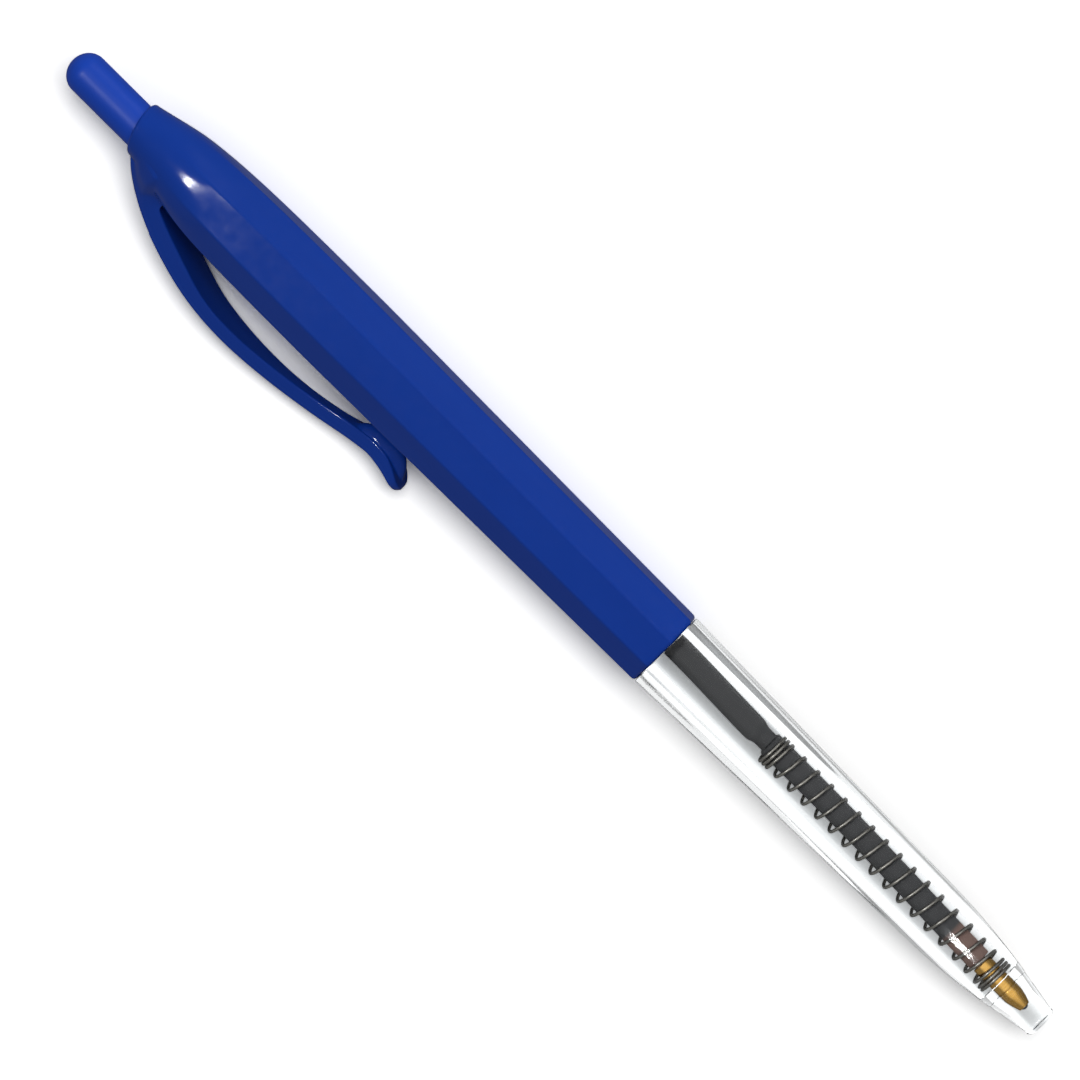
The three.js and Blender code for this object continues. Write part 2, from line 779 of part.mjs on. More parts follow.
// Lays the pen down: nose towards +X, clip towards -Y and drooping, then centred on the ground
function layDown() {
  const pen = new THREE.Group();
  for (const [name, geometry, finish] of pieces) {
    const mesh = new THREE.Mesh(geometry, new THREE.MeshStandardMaterial(finishes[finish]));
    mesh.name = name;
    pen.add(mesh);
  }
  const droop = restingDroop(pieces[0][1]);
  console.log(`Clip points ${THREE.MathUtils.radToDeg(droop).toFixed(2)} degrees below level`);
  const clipWay = new THREE.Vector3(0, -Math.cos(droop), -Math.sin(droop));
  const buttonWay = new THREE.Vector3(-1, 0, 0);
  const sideWay = buttonWay.clone().cross(clipWay);
  pen.quaternion.setFromRotationMatrix(new THREE.Matrix4().makeBasis(clipWay, sideWay, buttonWay));
  pen.updateMatrixWorld(true);
  const box = new THREE.Box3().setFromObject(pen, true);
  const middle = box.getCenter(new THREE.Vector3());
  pen.position.set(-middle.x, -middle.y, -box.min.z);
  const model = new THREE.Group();
  model.add(pen);
  return model;
}

export default layDown();
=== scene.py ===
# Looks of a push-button ballpoint pen: fine meshes, materials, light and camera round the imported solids.
# Pieces are worked out in millimetres on an upright pen, nose at z = 0 and clip towards +X,
# and are then laid down as the solids lie, in metres.
import json
import math

import bpy
import numpy as np
from mathutils import Matrix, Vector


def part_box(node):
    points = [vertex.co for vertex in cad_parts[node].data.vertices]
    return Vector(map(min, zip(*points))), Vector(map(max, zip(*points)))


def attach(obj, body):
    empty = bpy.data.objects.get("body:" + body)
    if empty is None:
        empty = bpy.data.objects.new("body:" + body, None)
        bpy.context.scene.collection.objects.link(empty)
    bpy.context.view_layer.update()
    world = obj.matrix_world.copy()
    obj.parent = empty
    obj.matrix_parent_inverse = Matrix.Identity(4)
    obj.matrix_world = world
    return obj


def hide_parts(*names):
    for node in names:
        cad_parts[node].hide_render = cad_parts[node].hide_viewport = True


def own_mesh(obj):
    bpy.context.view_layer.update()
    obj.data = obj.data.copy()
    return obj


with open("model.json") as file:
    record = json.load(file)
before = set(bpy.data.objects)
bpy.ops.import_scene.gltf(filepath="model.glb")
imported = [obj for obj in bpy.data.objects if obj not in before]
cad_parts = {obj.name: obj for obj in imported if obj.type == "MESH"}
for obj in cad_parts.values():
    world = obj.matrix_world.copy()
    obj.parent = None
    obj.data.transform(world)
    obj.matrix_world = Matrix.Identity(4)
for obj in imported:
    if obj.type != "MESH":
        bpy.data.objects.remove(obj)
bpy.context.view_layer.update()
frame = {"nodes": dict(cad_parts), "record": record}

print("frame loaded:", len(frame["nodes"]), "solids")

# How the pen lies: its axis runs through the ball's middle, and its clip droops towards the ground
ballLow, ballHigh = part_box("point_ball")
axisY, axisZ = (ballLow.y + ballHigh.y) / 2, (ballLow.z + ballHigh.z) / 2
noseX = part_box("front_barrel")[1].x
upFlat = next(m for m in frame["record"]["mounts"] if m["name"] == "barrel_flat_up")["axis"]
flatAngle = 22.5  # degrees, of the flat that looks up, on from square to the clip
droop = math.radians(flatAngle) - math.atan2(upFlat[1], upFlat[2])

penPieces = []


# Puts a mesh, a camera or a lamp into the scene.
def placed(name, data):
    thing = bpy.data.objects.new(name, data)
    bpy.context.scene.collection.objects.link(thing)
    return thing


# Turns points of the upright pen, in millimetres, into places in the row, in metres.
def laidDown(points):
    x, y, z = points[..., 0] / 1000, points[..., 1] / 1000, points[..., 2] / 1000
    cosine, sine = math.cos(droop), math.sin(droop)
    return np.stack([noseX - z, axisY - x * cosine - y * sine, axisZ - x * sine + y * cosine], -1)


# Makes one mesh from points and four-cornered faces, and lets it stand for its solid. A face with a doubled
# corner becomes a triangle; an edge that two faces do not share counts as open.
def newPiece(name, points, faces, material, body, slot, node, sharpAngle):
    mesh = bpy.data.meshes.new(name)
    doubled = (faces[:, 0] == faces[:, 1]) | (faces[:, 2] == faces[:, 3])
    middle = np.where(faces[:, 0] == faces[:, 1], faces[:, 2], faces[:, 1])
    threes = np.stack([faces[:, 0], middle, faces[:, 3]], -1)[doubled]
    mesh.from_pydata(laidDown(points).tolist(), [], faces[~doubled].tolist() + threes.tolist())
    edges = np.concatenate([np.stack([faces[:, k], faces[:, (k + 1) % 4]], -1) for k in range(4)])
    edges = np.sort(edges[edges[:, 0] != edges[:, 1]], 1)
    openEdges = int(np.sum(np.unique(edges, axis=0, return_counts=True)[1] != 2))
    mesh.materials.append(material)
    piece = placed(name, mesh)
    mesh.polygons.foreach_set("use_smooth", [True] * len(mesh.polygons))
    mesh.set_sharp_from_angle(angle=math.radians(sharpAngle))
    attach(piece, body)
    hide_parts(node)
    penPieces.append(piece)
    print(name, len(mesh.vertices), "points,", openEdges, "open edges")
    return piece


# Surfaces

# Faces of a grid whose columns run round and close on themselves: each takes a point, the next round, and the
# two after.
def gridFaces(rows, columns, closedRows=False, first=0):
    spans = rows if closedRows else rows - 1
    row = np.arange(spans)[:, None] * columns
    after = ((np.arange(spans) + 1) % rows)[:, None] * columns
    here = np.arange(columns)[None, :]
    beside = (here + 1) % columns
    quads = np.stack([row + here, row + beside, after + beside, after + here], -1)
    return quads.reshape(-1, 4) + first


# Faces from a ring to one point, written as triangles with a doubled corner.
def poleFaces(pole, start, columns, turnedRound=False):
    here = np.arange(columns)
    tip = np.full(columns, pole)
    faces = np.stack([start + here, start + (here + 1) % columns, tip, tip], -1)
    return faces[:, [1, 0, 2, 3]] if turnedRound else faces


# Signed volume of a closed mesh: the sum of a dot (b cross c) over its triangles.
def volumeOf(points, faces):
    a, b, c, d = (points[faces[:, i]] for i in range(4))
    return np.sum(a * np.cross(b, c)) + np.sum(a * np.cross(c, d))


# Turns the faces round if they enclose a negative volume. Laying the pen down keeps its handedness.
def outwards(points, faces):
    return faces if volumeOf(points, faces) > 0 else faces[:, ::-1]


# Points and faces of rings that run out along a piece and back inside it, the last joined to the first.
def hollow(rings):
    points = rings.reshape(-1, 3)
    return points, outwards(points, gridFaces(*rings.shape[:2], closedRows=True))


# Points and faces of rings that one point closes at each end.
def capped(rings, firstPole, lastPole):
    rows, columns = rings.shape[:2]
    points = np.concatenate([rings.reshape(-1, 3), [firstPole, lastPole]])
    faces = np.concatenate([
        gridFaces(rows, columns),
        poleFaces(rows * columns, 0, columns, turnedRound=True),
        poleFaces(rows * columns + 1, (rows - 1) * columns, columns),
    ])
    return points, outwards(points, faces)


# Rises from 0 at the low value to 1 at the high one, level at both: 3 s^2 - 2 s^3, s being the share between.
def smoothStep(value, low, high):
    share = np.clip((value - low) / (high - low), 0, 1)
    return share * share * (3 - 2 * share)


# Goes straight from a to b.
def mix(a, b, share):
    return a + (b - a) * share


# Even steps from 0 to 1, both included.
def shares(count):
    return np.linspace(0, 1, count + 1)


# Even angles over a quarter turn, both ends included.
def quarterTurn(steps):
    return np.linspace(0, math.pi / 2, steps)


# Even angles over a full turn, up to the one before the first again.
def fullTurn(steps):
    return np.arange(steps) / steps * 2 * math.pi


# Points at these radii and angles round the pen's axis, and at these heights.
def roundAxis(r, angle, z):
    return np.stack(np.broadcast_arrays(r * np.cos(angle), r * np.sin(angle), z), -1)


# Points of a cubic curve with these four corners.
def bezier(corners, steps):
    t = np.linspace(0, 1, steps)[:, None]
    p = np.asarray(corners, float)
    return (1 - t) ** 3 * p[0] + 3 * t * (1 - t) ** 2 * p[1] + 3 * t * t * (1 - t) * p[2] + t**3 * p[3]


# Points of a circle's arc in the outline's plane, angles in degrees.
def arc(centre, radius, start, end, steps):
    angle = np.radians(np.linspace(start, end, steps))
    return np.stack([centre[0] + radius * np.cos(angle), centre[1] + radius * np.sin(angle)], -1)


# Radius of an eight-sided ring with rounded corners at each angle: a flat lies at a / cos(angle from its
# middle), and a corner follows a circle of the given radius. Flatness fades it to a plain circle.
def cornered(angle, cornerR, flatness, rounding):
    half = math.pi / 8
    fromCorner = np.abs((angle + half) % (2 * half) - half)
    flatR = cornerR * math.cos(half)
    flat = flatR / np.cos(half - fromCorner)
    centre = (flatR - rounding) / math.cos(half)
    inside = np.maximum(rounding * rounding - (centre * np.sin(fromCorner)) ** 2, 0)
    bow = centre * np.cos(fromCorner) + np.sqrt(inside)
    onBow = (flatR * np.tan(half - fromCorner)) > (flatR - rounding) * math.tan(half)
    return mix(cornerR, np.where(onBow, bow, flat), flatness)


# Angles round the barrel, set close at each corner and wide on the flats: shares of half a flat from its
# corner.
def ringAngles(perFlat):
    steps = np.asarray(perFlat) * math.pi / 8
    oneFlat = np.concatenate([steps, math.pi / 4 - steps[::-1][1:]])[:-1]
    return np.concatenate([oneFlat + k * math.pi / 4 for k in range(8)])


# Carries an outline of [radius, z] pairs round the axis. It is closed on itself, or starts and ends on the
# axis, where its ends become poles.
def turned(outline, columns):
    outline = np.asarray(outline, float)
    rings = roundAxis(outline[:, :1], fullTurn(columns), outline[:, 1:])
    onAxis = outline[:, 0] == 0
    if not onAxis.any():
        return hollow(rings)
    return capped(rings[~onAxis], [0, 0, outline[0, 1]], [0, 0, outline[-1, 1]])


# Materials

# Sets a node's inputs: a socket is linked to its input, and anything else becomes its value.
def setInputs(tree, node, inputs):
    for name, value in inputs.items():
        if isinstance(value, bpy.types.NodeSocket):
            tree.links.new(value, node.inputs[name])
        else:
            node.inputs[name].default_value = value


# Adds a shader node. Its own settings come first, because they decide which inputs it has.
def addNode(tree, kind, inputs, **settings):
    node = tree.nodes.new("ShaderNode" + kind)
    for name, value in settings.items():
        setattr(node, name, value)
    setInputs(tree, node, inputs)
    return node


# Starts a material with one shader.
def newMaterial(name):
    material = bpy.data.materials.new(name)
    material.use_nodes = True
    tree = material.node_tree
    tree.nodes.clear()
    shader = addNode(tree, "BsdfPrincipled", {})
    output = addNode(tree, "OutputMaterial", {"Surface": shader.outputs[0]})
    return material, tree, shader, output


# Colour written as 0 to 255 in the picture's own steps, turned into light.
def linear(red, green, blue):
    share = np.array([red, green, blue]) / 255
    light = np.where(share <= 0.04045, share / 12.92, ((share + 0.055) / 1.055) ** 2.4)
    return (*light.tolist(), 1.0)


# Cloudy noise that rides on the piece. Fineness is how much finer it is along the pen, across and up.
def noise(tree, fineness, scale, detail):
    place = addNode(tree, "TexCoord", {})
    finer = addNode(tree, "Mapping", {"Vector": place.outputs["Object"], "Scale": fineness})
    cloud = addNode(tree, "TexNoise", {"Vector": finer.outputs[0], "Scale": scale, "Detail": detail})
    return cloud.outputs["Fac"]


# Tone between two, as the share says.
def toned(tree, share, dark, colour):
    tone = addNode(tree, "Mix", {"Factor": share, "A": dark, "B": colour}, data_type="RGBA")
    return tone.outputs["Result"]


# Roughness a little under and over its middle, as the noise says.
def worn(tree, cloud, roughness, wear):
    low, high = roughness - wear["smoother"], roughness + wear["rougher"]
    return addNode(tree, "MapRange", {"Value": cloud, "To Min": low, "To Max": high}).outputs["Result"]


# Dents as deep as the noise says, in metres.
def dented(tree, cloud, strength, depth):
    dent = addNode(tree, "Bump", {"Height": cloud, "Strength": strength, "Distance": depth})
    return dent.outputs["Normal"]


moulded = {"cloud": 90, "cloudDetail": 4, "grainDetail": 3, "smoother": 0.05, "rougher": 0.07, "dents": 0.25}


# Moulded plastic: slightly cloudy colour, faint flow lines along the pen, fine grain and fine scuffs.
def plastic(name, finish):
    material, tree, shader, _ = newMaterial(name)
    cloud = noise(tree, finish["fineness"], moulded["cloud"], moulded["cloudDetail"])
    grain = noise(tree, (1, 1, 1), finish["grain"], moulded["grainDetail"])
    setInputs(tree, shader, {
        "Specular IOR Level": finish["specular"],
        "Base Color": toned(tree, cloud, linear(*finish["dark"]), linear(*finish["colour"])),
        "Roughness": worn(tree, grain, finish["roughness"], moulded),
        "Normal": dented(tree, grain, moulded["dents"], finish["dent"]),
    })
    return material


barrelBlue = plastic("barrel_blue", {
    "colour": (12, 47, 128), "dark": (10, 43, 121), "roughness": 0.11, "specular": 0.24,
    "dent": 0.000012, "grain": 900, "fineness": (1, 4, 4),
})
buttonBlue = plastic("button_blue", {
    "colour": (20, 57, 151), "dark": (17, 52, 144), "roughness": 0.36, "specular": 0.14,
    "dent": 0.00001, "grain": 1100, "fineness": (1, 1, 1),
})
rotorWhite = plastic("rotor_white", {
    "colour": (236, 236, 230), "dark": (226, 227, 222), "roughness": 0.4, "specular": 0.5,
    "dent": 0.00001, "grain": 900, "fineness": (1, 1, 1),
})
tubeBlack = plastic("tube_black", {
    "colour": (108, 108, 109), "dark": (100, 100, 101), "roughness": 0.5, "specular": 0.08,
    "dent": 0.000003, "grain": 700, "fineness": (1, 5, 5),
})
inkDark = plastic("ink", {
    "colour": (8, 9, 26), "dark": (5, 6, 18), "roughness": 0.25, "specular": 0.5,
    "dent": 0.000005, "grain": 500, "fineness": (1, 1, 1),
})

# Where the tube's front takes a painted highlight for the glare on the nose, and its pale pinkish colour
tubeFrontGlare = {"darkUpTo": 13.7, "paleFrom": 13.2, "colour": (174, 144, 134)}  # millimetres from the nose


# At the front, where no ink stands behind it, the tube is painted pale and pinkish: a painted highlight for
# the glare that lies there on the clear nose.
def paleFrontGlare(material, front):
    tree = material.node_tree
    shader = tree.nodes["Principled BSDF"]
    dark = shader.inputs["Base Color"].links[0].from_socket
    place = addNode(tree, "TexCoord", {})
    apart = addNode(tree, "SeparateXYZ", {0: place.outputs["Object"]})
    share = addNode(tree, "MapRange", {
        "Value": apart.outputs["X"],
        "From Min": noseX - front["darkUpTo"] / 1000, "From Max": noseX - front["paleFrom"] / 1000})
    pale = toned(tree, share.outputs["Result"], dark, linear(*front["colour"]))
    setInputs(tree, shader, {"Base Color": pale})


# Painted highlight: the tube's front is pale and pinkish under the nose's glare
paleFrontGlare(tubeBlack, tubeFrontGlare)

drawn = {"detail": 2, "smoother": 0.06, "rougher": 0.08, "dents": 0.2, "dent": 0.00001}


# Drawn or turned metal: fine rings or lines left by the tool, and a slightly uneven tone.
def metal(name, finish):
    material, tree, shader, _ = newMaterial(name)
    lines = noise(tree, finish["lines"], 1, drawn["detail"])
    setInputs(tree, shader, {
        "Metallic": 1,
        "Base Color": toned(tree, lines, linear(*finish["dark"]), linear(*finish["colour"])),
        "Roughness": worn(tree, lines, finish["roughness"], drawn),
        "Normal": dented(tree, lines, drawn["dents"], drawn["dent"]),
    })
    return material


brass = metal("brass", {
    "colour": (250, 200, 114), "dark": (214, 160, 74), "roughness": 0.16, "lines": (9000, 900, 900),
})
springSteel = metal("spring_steel", {
    "colour": (188, 184, 176), "dark": (138, 134, 128), "roughness": 0.28, "lines": (3000, 3000, 3000),
})
ballSteel = metal("ball_steel", {
    "colour": (150, 152, 156), "dark": (136, 138, 142), "roughness": 0.2, "lines": (4000, 4000, 4000),
})

clearFinish = {
    "tint": (0.97, 0.985, 0.99, 1), "bend": 1.4, "mirror": (0.1, 0.1, 0.1, 1), "roughness": 0.06,
    "waves": (30, 120, 120), "waveDetail": 2, "swell": 0.02, "depth": 0.0002, "shade": (0.57, 0.575, 0.58, 1),
}


# Clear moulded plastic: glass that lets lamp rays through, with faint flow waves.
def clearPlastic(name, finish):
    material, tree, shader, output = newMaterial(name)
    waves = noise(tree, finish["waves"], 1, finish["waveDetail"])
    setInputs(tree, shader, {
        "Base Color": finish["tint"], "Transmission Weight": 1, "IOR": finish["bend"],
        "Specular Tint": finish["mirror"], "Roughness": finish["roughness"],
        "Normal": dented(tree, waves, finish["swell"], finish["depth"]),
    })
    path = addNode(tree, "LightPath", {})
    through = addNode(tree, "BsdfTransparent", {"Color": finish["shade"]})
    either = addNode(tree, "MixShader", {
        0: path.outputs["Is Shadow Ray"], 1: shader.outputs[0], 2: through.outputs[0]})
    setInputs(tree, output, {"Surface": either.outputs[0]})
    return material


clear = clearPlastic("clear_plastic", clearFinish)
print("materials made")

# Shared places along the pen, in millimetres up from the nose, and radii to the eight corners, as the solids
# have them
pen = {
    "nose": 54.74, "seam": 54.8, "spigotEnd": 66.2, "belly": 100.05, "mouth": 131.15, "end": 141.0,
    "jointR": 4.69, "bellyR": 5.09, "skirtTop": 121.75, "crown": 112.15, "stop": 122.05,
    "sideways": 213.9,  # degrees round the pen, the way that the slack refill and spring lean
}

# Saw of the button's crown, which the barrel's guide ribs share
saw = {"tooth": 1.0, "pitch": 45, "flank": 36}


# Height of the saw above its tips: eight teeth, each a long flank and a short return.
def sawHeight(angle):
    along = np.degrees(angle) % saw["pitch"]
    falling = (saw["pitch"] - along) / (saw["pitch"] - saw["flank"])
    return saw["tooth"] * np.where(along <= saw["flank"], along / saw["flank"], falling)


# Coloured barrel, one moulding with its clip. Each quarter turn has a guide rib from one angle to the other.
shell = {
    "rimR": 2.805, "mouthRound": 0.5, "mouthEdge": 0.08, "neckTop": 1.2, "lean": math.tan(math.radians(16)),
    "neckHandle": 24.5, "mouthHandle": (9.6, 4.758), "neckEnd": 0.3, "fadeStart": 14, "fadeEnd": 4.5,
    "cornerRound": 0.4, "seamRound": 0.45, "holeR": 2.335, "boreR": 3.45,
    "socketR": 3.62, "socketEnd": 66.5, "socketEdge": 0.08, "socketEase": 0.06, "holeEase": 0.03,
    "mouthLip": 0.04, "closeRows": 0.15,
    "guideR": 2.75, "guideLow": 107.63, "guideStart": 32.6, "guideEnd": 0.6,
    "half": 44, "ridge": 26, "corners": [0, 0.035, 0.07, 0.105, 0.15, 0.3, 0.5, 0.75, 1],
}

# Its clip: places are drops below the mouth, and a pair is where a change starts and ends
clip = {
    "branch": 6.2, "end": 45.0, "rootWidth": 4.2, "waistWidth": 1.45, "waist": (13, 33.4), "tipWidth": 3.3,
    "flare": (35.4, 44.2), "rootThick": 2.5, "stripThick": 1.88, "thinning": (10, 19), "tipThick": 1.0,
    "tipThinning": 41.2, "crown": 0.15, "ease": 0.35, "easeUnder": 0.2,
    "easeToWidth": 2.2, "easeToDepth": 2.6, "web": 0.25, "webBelow": (4.4, 6.4),
    "rootFillet": 1.8, "filletShare": 0.9, "filletLeast": 0.02, "rootFall": 1.4,
    "rootSlant": 0.36, "slantIn": (0.8, 3.5), "slantOut": (4.0, 7.0), "slantReach": 0.84,
    "archUp": 0.5, "archDown": 0.9, "flankAt": (4, 4.3), "sink": 0.35, "gap": 0.04,
    "tipRound": 1.7, "tipEdge": 0.5, "tipBack": 0.05, "tipNarrowest": 0.0004, "tipThinnest": 0.01,
    "squareBy": 5,
    "beadDrop": 41.0, "beadLength": 6.6, "beadWidth": 2.4, "beadGap": 0.3, "beadSwell": 1.3,
    "beadFade": (0.8, 1),
}

# Outer line of the clip, drop by height over the axis
clipLine = np.concatenate([
    bezier([(1.7, 2.75), (4.7, 6.55), (13.2, 11.07), (23.2, 11.07)], 400),
    bezier([(23.2, 11.07), (32.7, 11.07), (38.9, 8.34), (40.4, 8.34)], 400)[1:],
    bezier([(40.4, 8.34), (42.2, 8.34), (43.7333, 8.7667), (45.0, 9.62)], 200)[1:],
])
neckLine = bezier([
    (pen["belly"], pen["bellyR"]),
    (pen["belly"] + shell["neckHandle"], pen["bellyR"]),
    (pen["mouth"] - shell["mouthHandle"][0], shell["mouthHandle"][1]),
    (pen["mouth"] - shell["neckEnd"], shell["rimR"]),
], 500)


# Corner radius of the coloured barrel: a straight taper up to the belly, then the neck's curve.
def cornerRadius(z):
    taper = mix(pen["jointR"], pen["bellyR"], (z - pen["seam"]) / (pen["belly"] - pen["seam"]))
    return np.where(z < pen["belly"], taper, np.interp(z, neckLine[:, 0], neckLine[:, 1]))


# Half the clip's width: it narrows from the root to a waist and flares again to the tip.
def clipHalf(drop):
    narrowed = mix(clip["rootWidth"], clip["waistWidth"], smoothStep(drop, *clip["waist"]))
    return mix(narrowed, clip["tipWidth"], smoothStep(drop, *clip["flare"])) / 2


# Thickness of the clip, square to its outer line.
def clipThickness(drop):
    strip = mix(clip["rootThick"], clip["stripThick"], smoothStep(drop, *clip["thinning"]))
    return mix(strip, clip["tipThick"], smoothStep(drop, clip["tipThinning"], clip["end"]))


# How far the eight sides have faded to a round neck, from 0 to 1.
def neckFade(z):
    return smoothStep(z, pen["mouth"] - shell["fadeStart"], pen["mouth"] - shell["fadeEnd"])


# Height of the clip's root over the axis. Ahead of its start it falls away to nothing.
def rootHeight(drop):
    ahead = np.maximum(clipLine[0, 0] - drop, 0)
    return np.maximum(np.interp(drop, clipLine[:, 0], clipLine[:, 1]) - clip["rootFall"] * ahead, 0)


# Hollow curve between root and neck: bigger where the root stands higher, and small again at the web.
def rootFillet(drop):
    height = rootHeight(drop) - cornerRadius(pen["mouth"] - drop)
    most = mix(clip["rootFillet"], clip["web"], smoothStep(drop, *clip["webBelow"]))
    return np.clip(clip["filletShare"] * height, clip["filletLeast"], most)


# Distance to a box with rounded upper corners, whose top is crowned and whose sides slant out downwards, as
# far as the width given.
def ridgeDistance(x, y, top, half, ease, crown, slant, widest):
    over = x - top + crown * (y / half) ** 2 + ease
    flare = np.minimum(slant * np.maximum(top - ease - x, 0), np.maximum(widest - half, 0))
    beyond = (np.abs(y) - half - flare) / np.sqrt(1 + slant**2) + ease
    outer = np.hypot(np.maximum(over, 0), np.maximum(beyond, 0))
    return np.minimum(np.maximum(over, beyond), 0) + outer - ease


# Joins two distances with a hollow quarter circle between them.
def filleted(a, b, size):
    return np.maximum(size, np.minimum(a, b)) - np.hypot(np.maximum(size - a, 0), np.maximum(size - b, 0))


# Halving along a ray, from and to these radii. Away from the clip's side the ridge counts as far off.
search = {"low": 1.0, "high": 14.0, "halvings": 36, "clipSide": 0.1, "farOff": 9.0}


# Radius of the barrel with a ridge on it, at each angle of each row. It is found by halving along the ray,
# because the distance is under zero inside, and over it outside.
def ridgedRadius(z, angle, topOf, ease, crown, filletOf):
    barrelR = cornered(angle, cornerRadius(z), 1 - neckFade(z), shell["cornerRound"])
    lean = shell["lean"] * neckFade(z)
    widest = clip["slantReach"] * cornerRadius(z)
    low, high = (np.full(barrelR.shape, search[end]) for end in ("low", "high"))
    for _ in range(search["halvings"]):
        r = (low + high) / 2
        x, y = r * np.cos(angle), r * np.sin(angle)
        drop = pen["mouth"] - z + lean * x
        slant = clip["rootSlant"] * smoothStep(drop, *clip["slantIn"])
        slant = slant * (1 - smoothStep(drop, *clip["slantOut"]))
        toRidge = ridgeDistance(x, y, topOf(drop), clipHalf(drop), ease, crown, slant, widest)
        toRidge = np.where(np.cos(angle) > search["clipSide"], toRidge, search["farOff"])
        outside = filleted(r - barrelR, toRidge, filletOf(drop)) > 0
        low, high = np.where(outside, low, r), np.where(outside, r, high)
    return (low + high) / 2


# Running measure along each row of points: length, and more where the line bends.
def measured(points, bend=0.5):
    steps = np.diff(points, axis=1)
    length = np.linalg.norm(steps, axis=2)
    heading = steps / np.maximum(length, 1e-9)[..., None]
    turn = np.linalg.norm(np.diff(heading, axis=1), axis=2)
    turn = np.pad(turn, ((0, 0), (1, 0)))
    return np.pad(np.cumsum(length + bend * turn, axis=1), ((0, 0), (1, 0)))


# Reads every row of points again at the given measures, all rows in one pass.
def resampled(points, measure, wanted):
    span = measure[:, -1:] * 1.001 + 1e-9
    row = np.arange(len(points))[:, None]
    known, asked = (row + measure / span).ravel(), row + wanted / span
    return np.stack([np.interp(asked, known, points[..., k].ravel()) for k in range(points.shape[2])], -1)


# Rows of the barrel as points: half a ring from over the clip to the first corner, spread by measure and
# split where the clip leaves the barrel, then set angles round the far side, then the first part mirrored.
def barrelRows(z, radiusOf, splitOf):
    dense = np.linspace(0, math.pi / 4, 500)[None, :]
    r = radiusOf(z, dense)
    near = np.stack([r * np.cos(dense), r * np.sin(dense)], -1)
    measure = measured(near)
    split = splitOf(measure, dense)[:, None]
    whole = measure[:, -1:]
    ridge, count = shell["ridge"], shell["half"]
    wanted = np.concatenate([split * shares(ridge), split + (whole - split) * shares(count - ridge)[1:]], 1)
    near = resampled(near, measure, wanted)
    farAngle = ringAngles(shell["corners"])
    farAngle = farAngle[(farAngle > math.pi / 4 + 0.001) & (farAngle < 7 * math.pi / 4 - 0.001)][None, :]
    r = radiusOf(z, farAngle)
    far = np.stack([r * np.cos(farAngle), r * np.sin(farAngle)], -1)
    mirrored = near[:, :0:-1] * [1, -1]
    flat = np.concatenate([near, far, mirrored], 1)
    height = z - shell["lean"] * neckFade(z) * flat[..., 0]
    return np.concatenate([flat, height[..., None]], -1)


# Outer line of the clip in the pen's own plane, and the leaning row of the barrel where the clip branches
# off: which way it leans, the middle of the web between clip and barrel, and half the clip's width there.
def clipRoot():
    z = pen["mouth"] - clip["branch"]
    lean = shell["lean"] * neckFade(z)
    lineX, lineZ = clipLine[:, 1], pen["mouth"] - clipLine[:, 0]
    cut = int(np.argmax(lineZ + lean * lineX < z))
    along = np.stack([np.gradient(lineX), np.gradient(lineZ)], -1)
    along /= np.linalg.norm(along, axis=1)[:, None]
    inward = np.stack([along[:, 1], -along[:, 0]], -1)
    way = np.array([-1, lean]) / math.hypot(1, lean)
    depth = clipThickness(clipLine[:, 0]) / (inward @ way)
    middleX = (lineX[cut] - depth[cut] + cornerRadius(np.array(z))) / 2
    half = clipHalf(clip["branch"] + lean * middleX)
    return {
        "z": z, "lean": lean, "way": way, "middleX": middleX, "half": half,
        "lineX": lineX, "lineZ": lineZ, "inward": inward, "cut": cut,
    }


# Barrel from its round edge at the seam to the branch, with the stub of the web falling away in a quarter of
# an ellipse.
def lowerBody(root):
    aside, ahead = (math.atan2(root["half"], reach) for reach in clip["flankAt"])
    flank = cornered(aside, cornerRadius(np.array(root["z"])), 1, shell["cornerRound"]) * math.cos(ahead)
    fall = root["middleX"] - flank + clip["sink"]
    sweep = np.linspace(math.pi / 2, 0, 13)
    archZ = root["z"] - clip["archDown"] * (1 - np.cos(sweep))
    roundUp = quarterTurn(8)
    seamZ = pen["seam"] + shell["seamRound"] * (1 - np.cos(roundUp))
    bodyZ = np.linspace(pen["seam"] + shell["seamRound"], archZ[0], 150)[1:-1]
    plain = np.zeros(len(bodyZ) + len(archZ))
    below = np.zeros(len(seamZ) + len(bodyZ))
    z = np.concatenate([seamZ, bodyZ, archZ])[:, None]
    inset = np.concatenate([shell["seamRound"] * (1 - np.sin(roundUp)), plain])[:, None]
    stub = np.concatenate([below, root["middleX"] - fall * np.sin(sweep)])[:, None]
    ease = np.concatenate([below + clip["easeUnder"], clip["easeUnder"] * np.sin(sweep)])[:, None]

    def radiusOf(z, angle):
        return ridgedRadius(z, angle, lambda drop: stub, ease + 1e-6, 0, lambda drop: clip["web"]) - inset

    def splitOf(measure, dense):
        angle = np.arctan2(root["half"] - ease[:, 0], np.maximum(stub[:, 0], flank))
        return np.array([np.interp(angle[k], dense[0], measure[k]) for k in range(len(measure))])

    return barrelRows(z, radiusOf, splitOf)


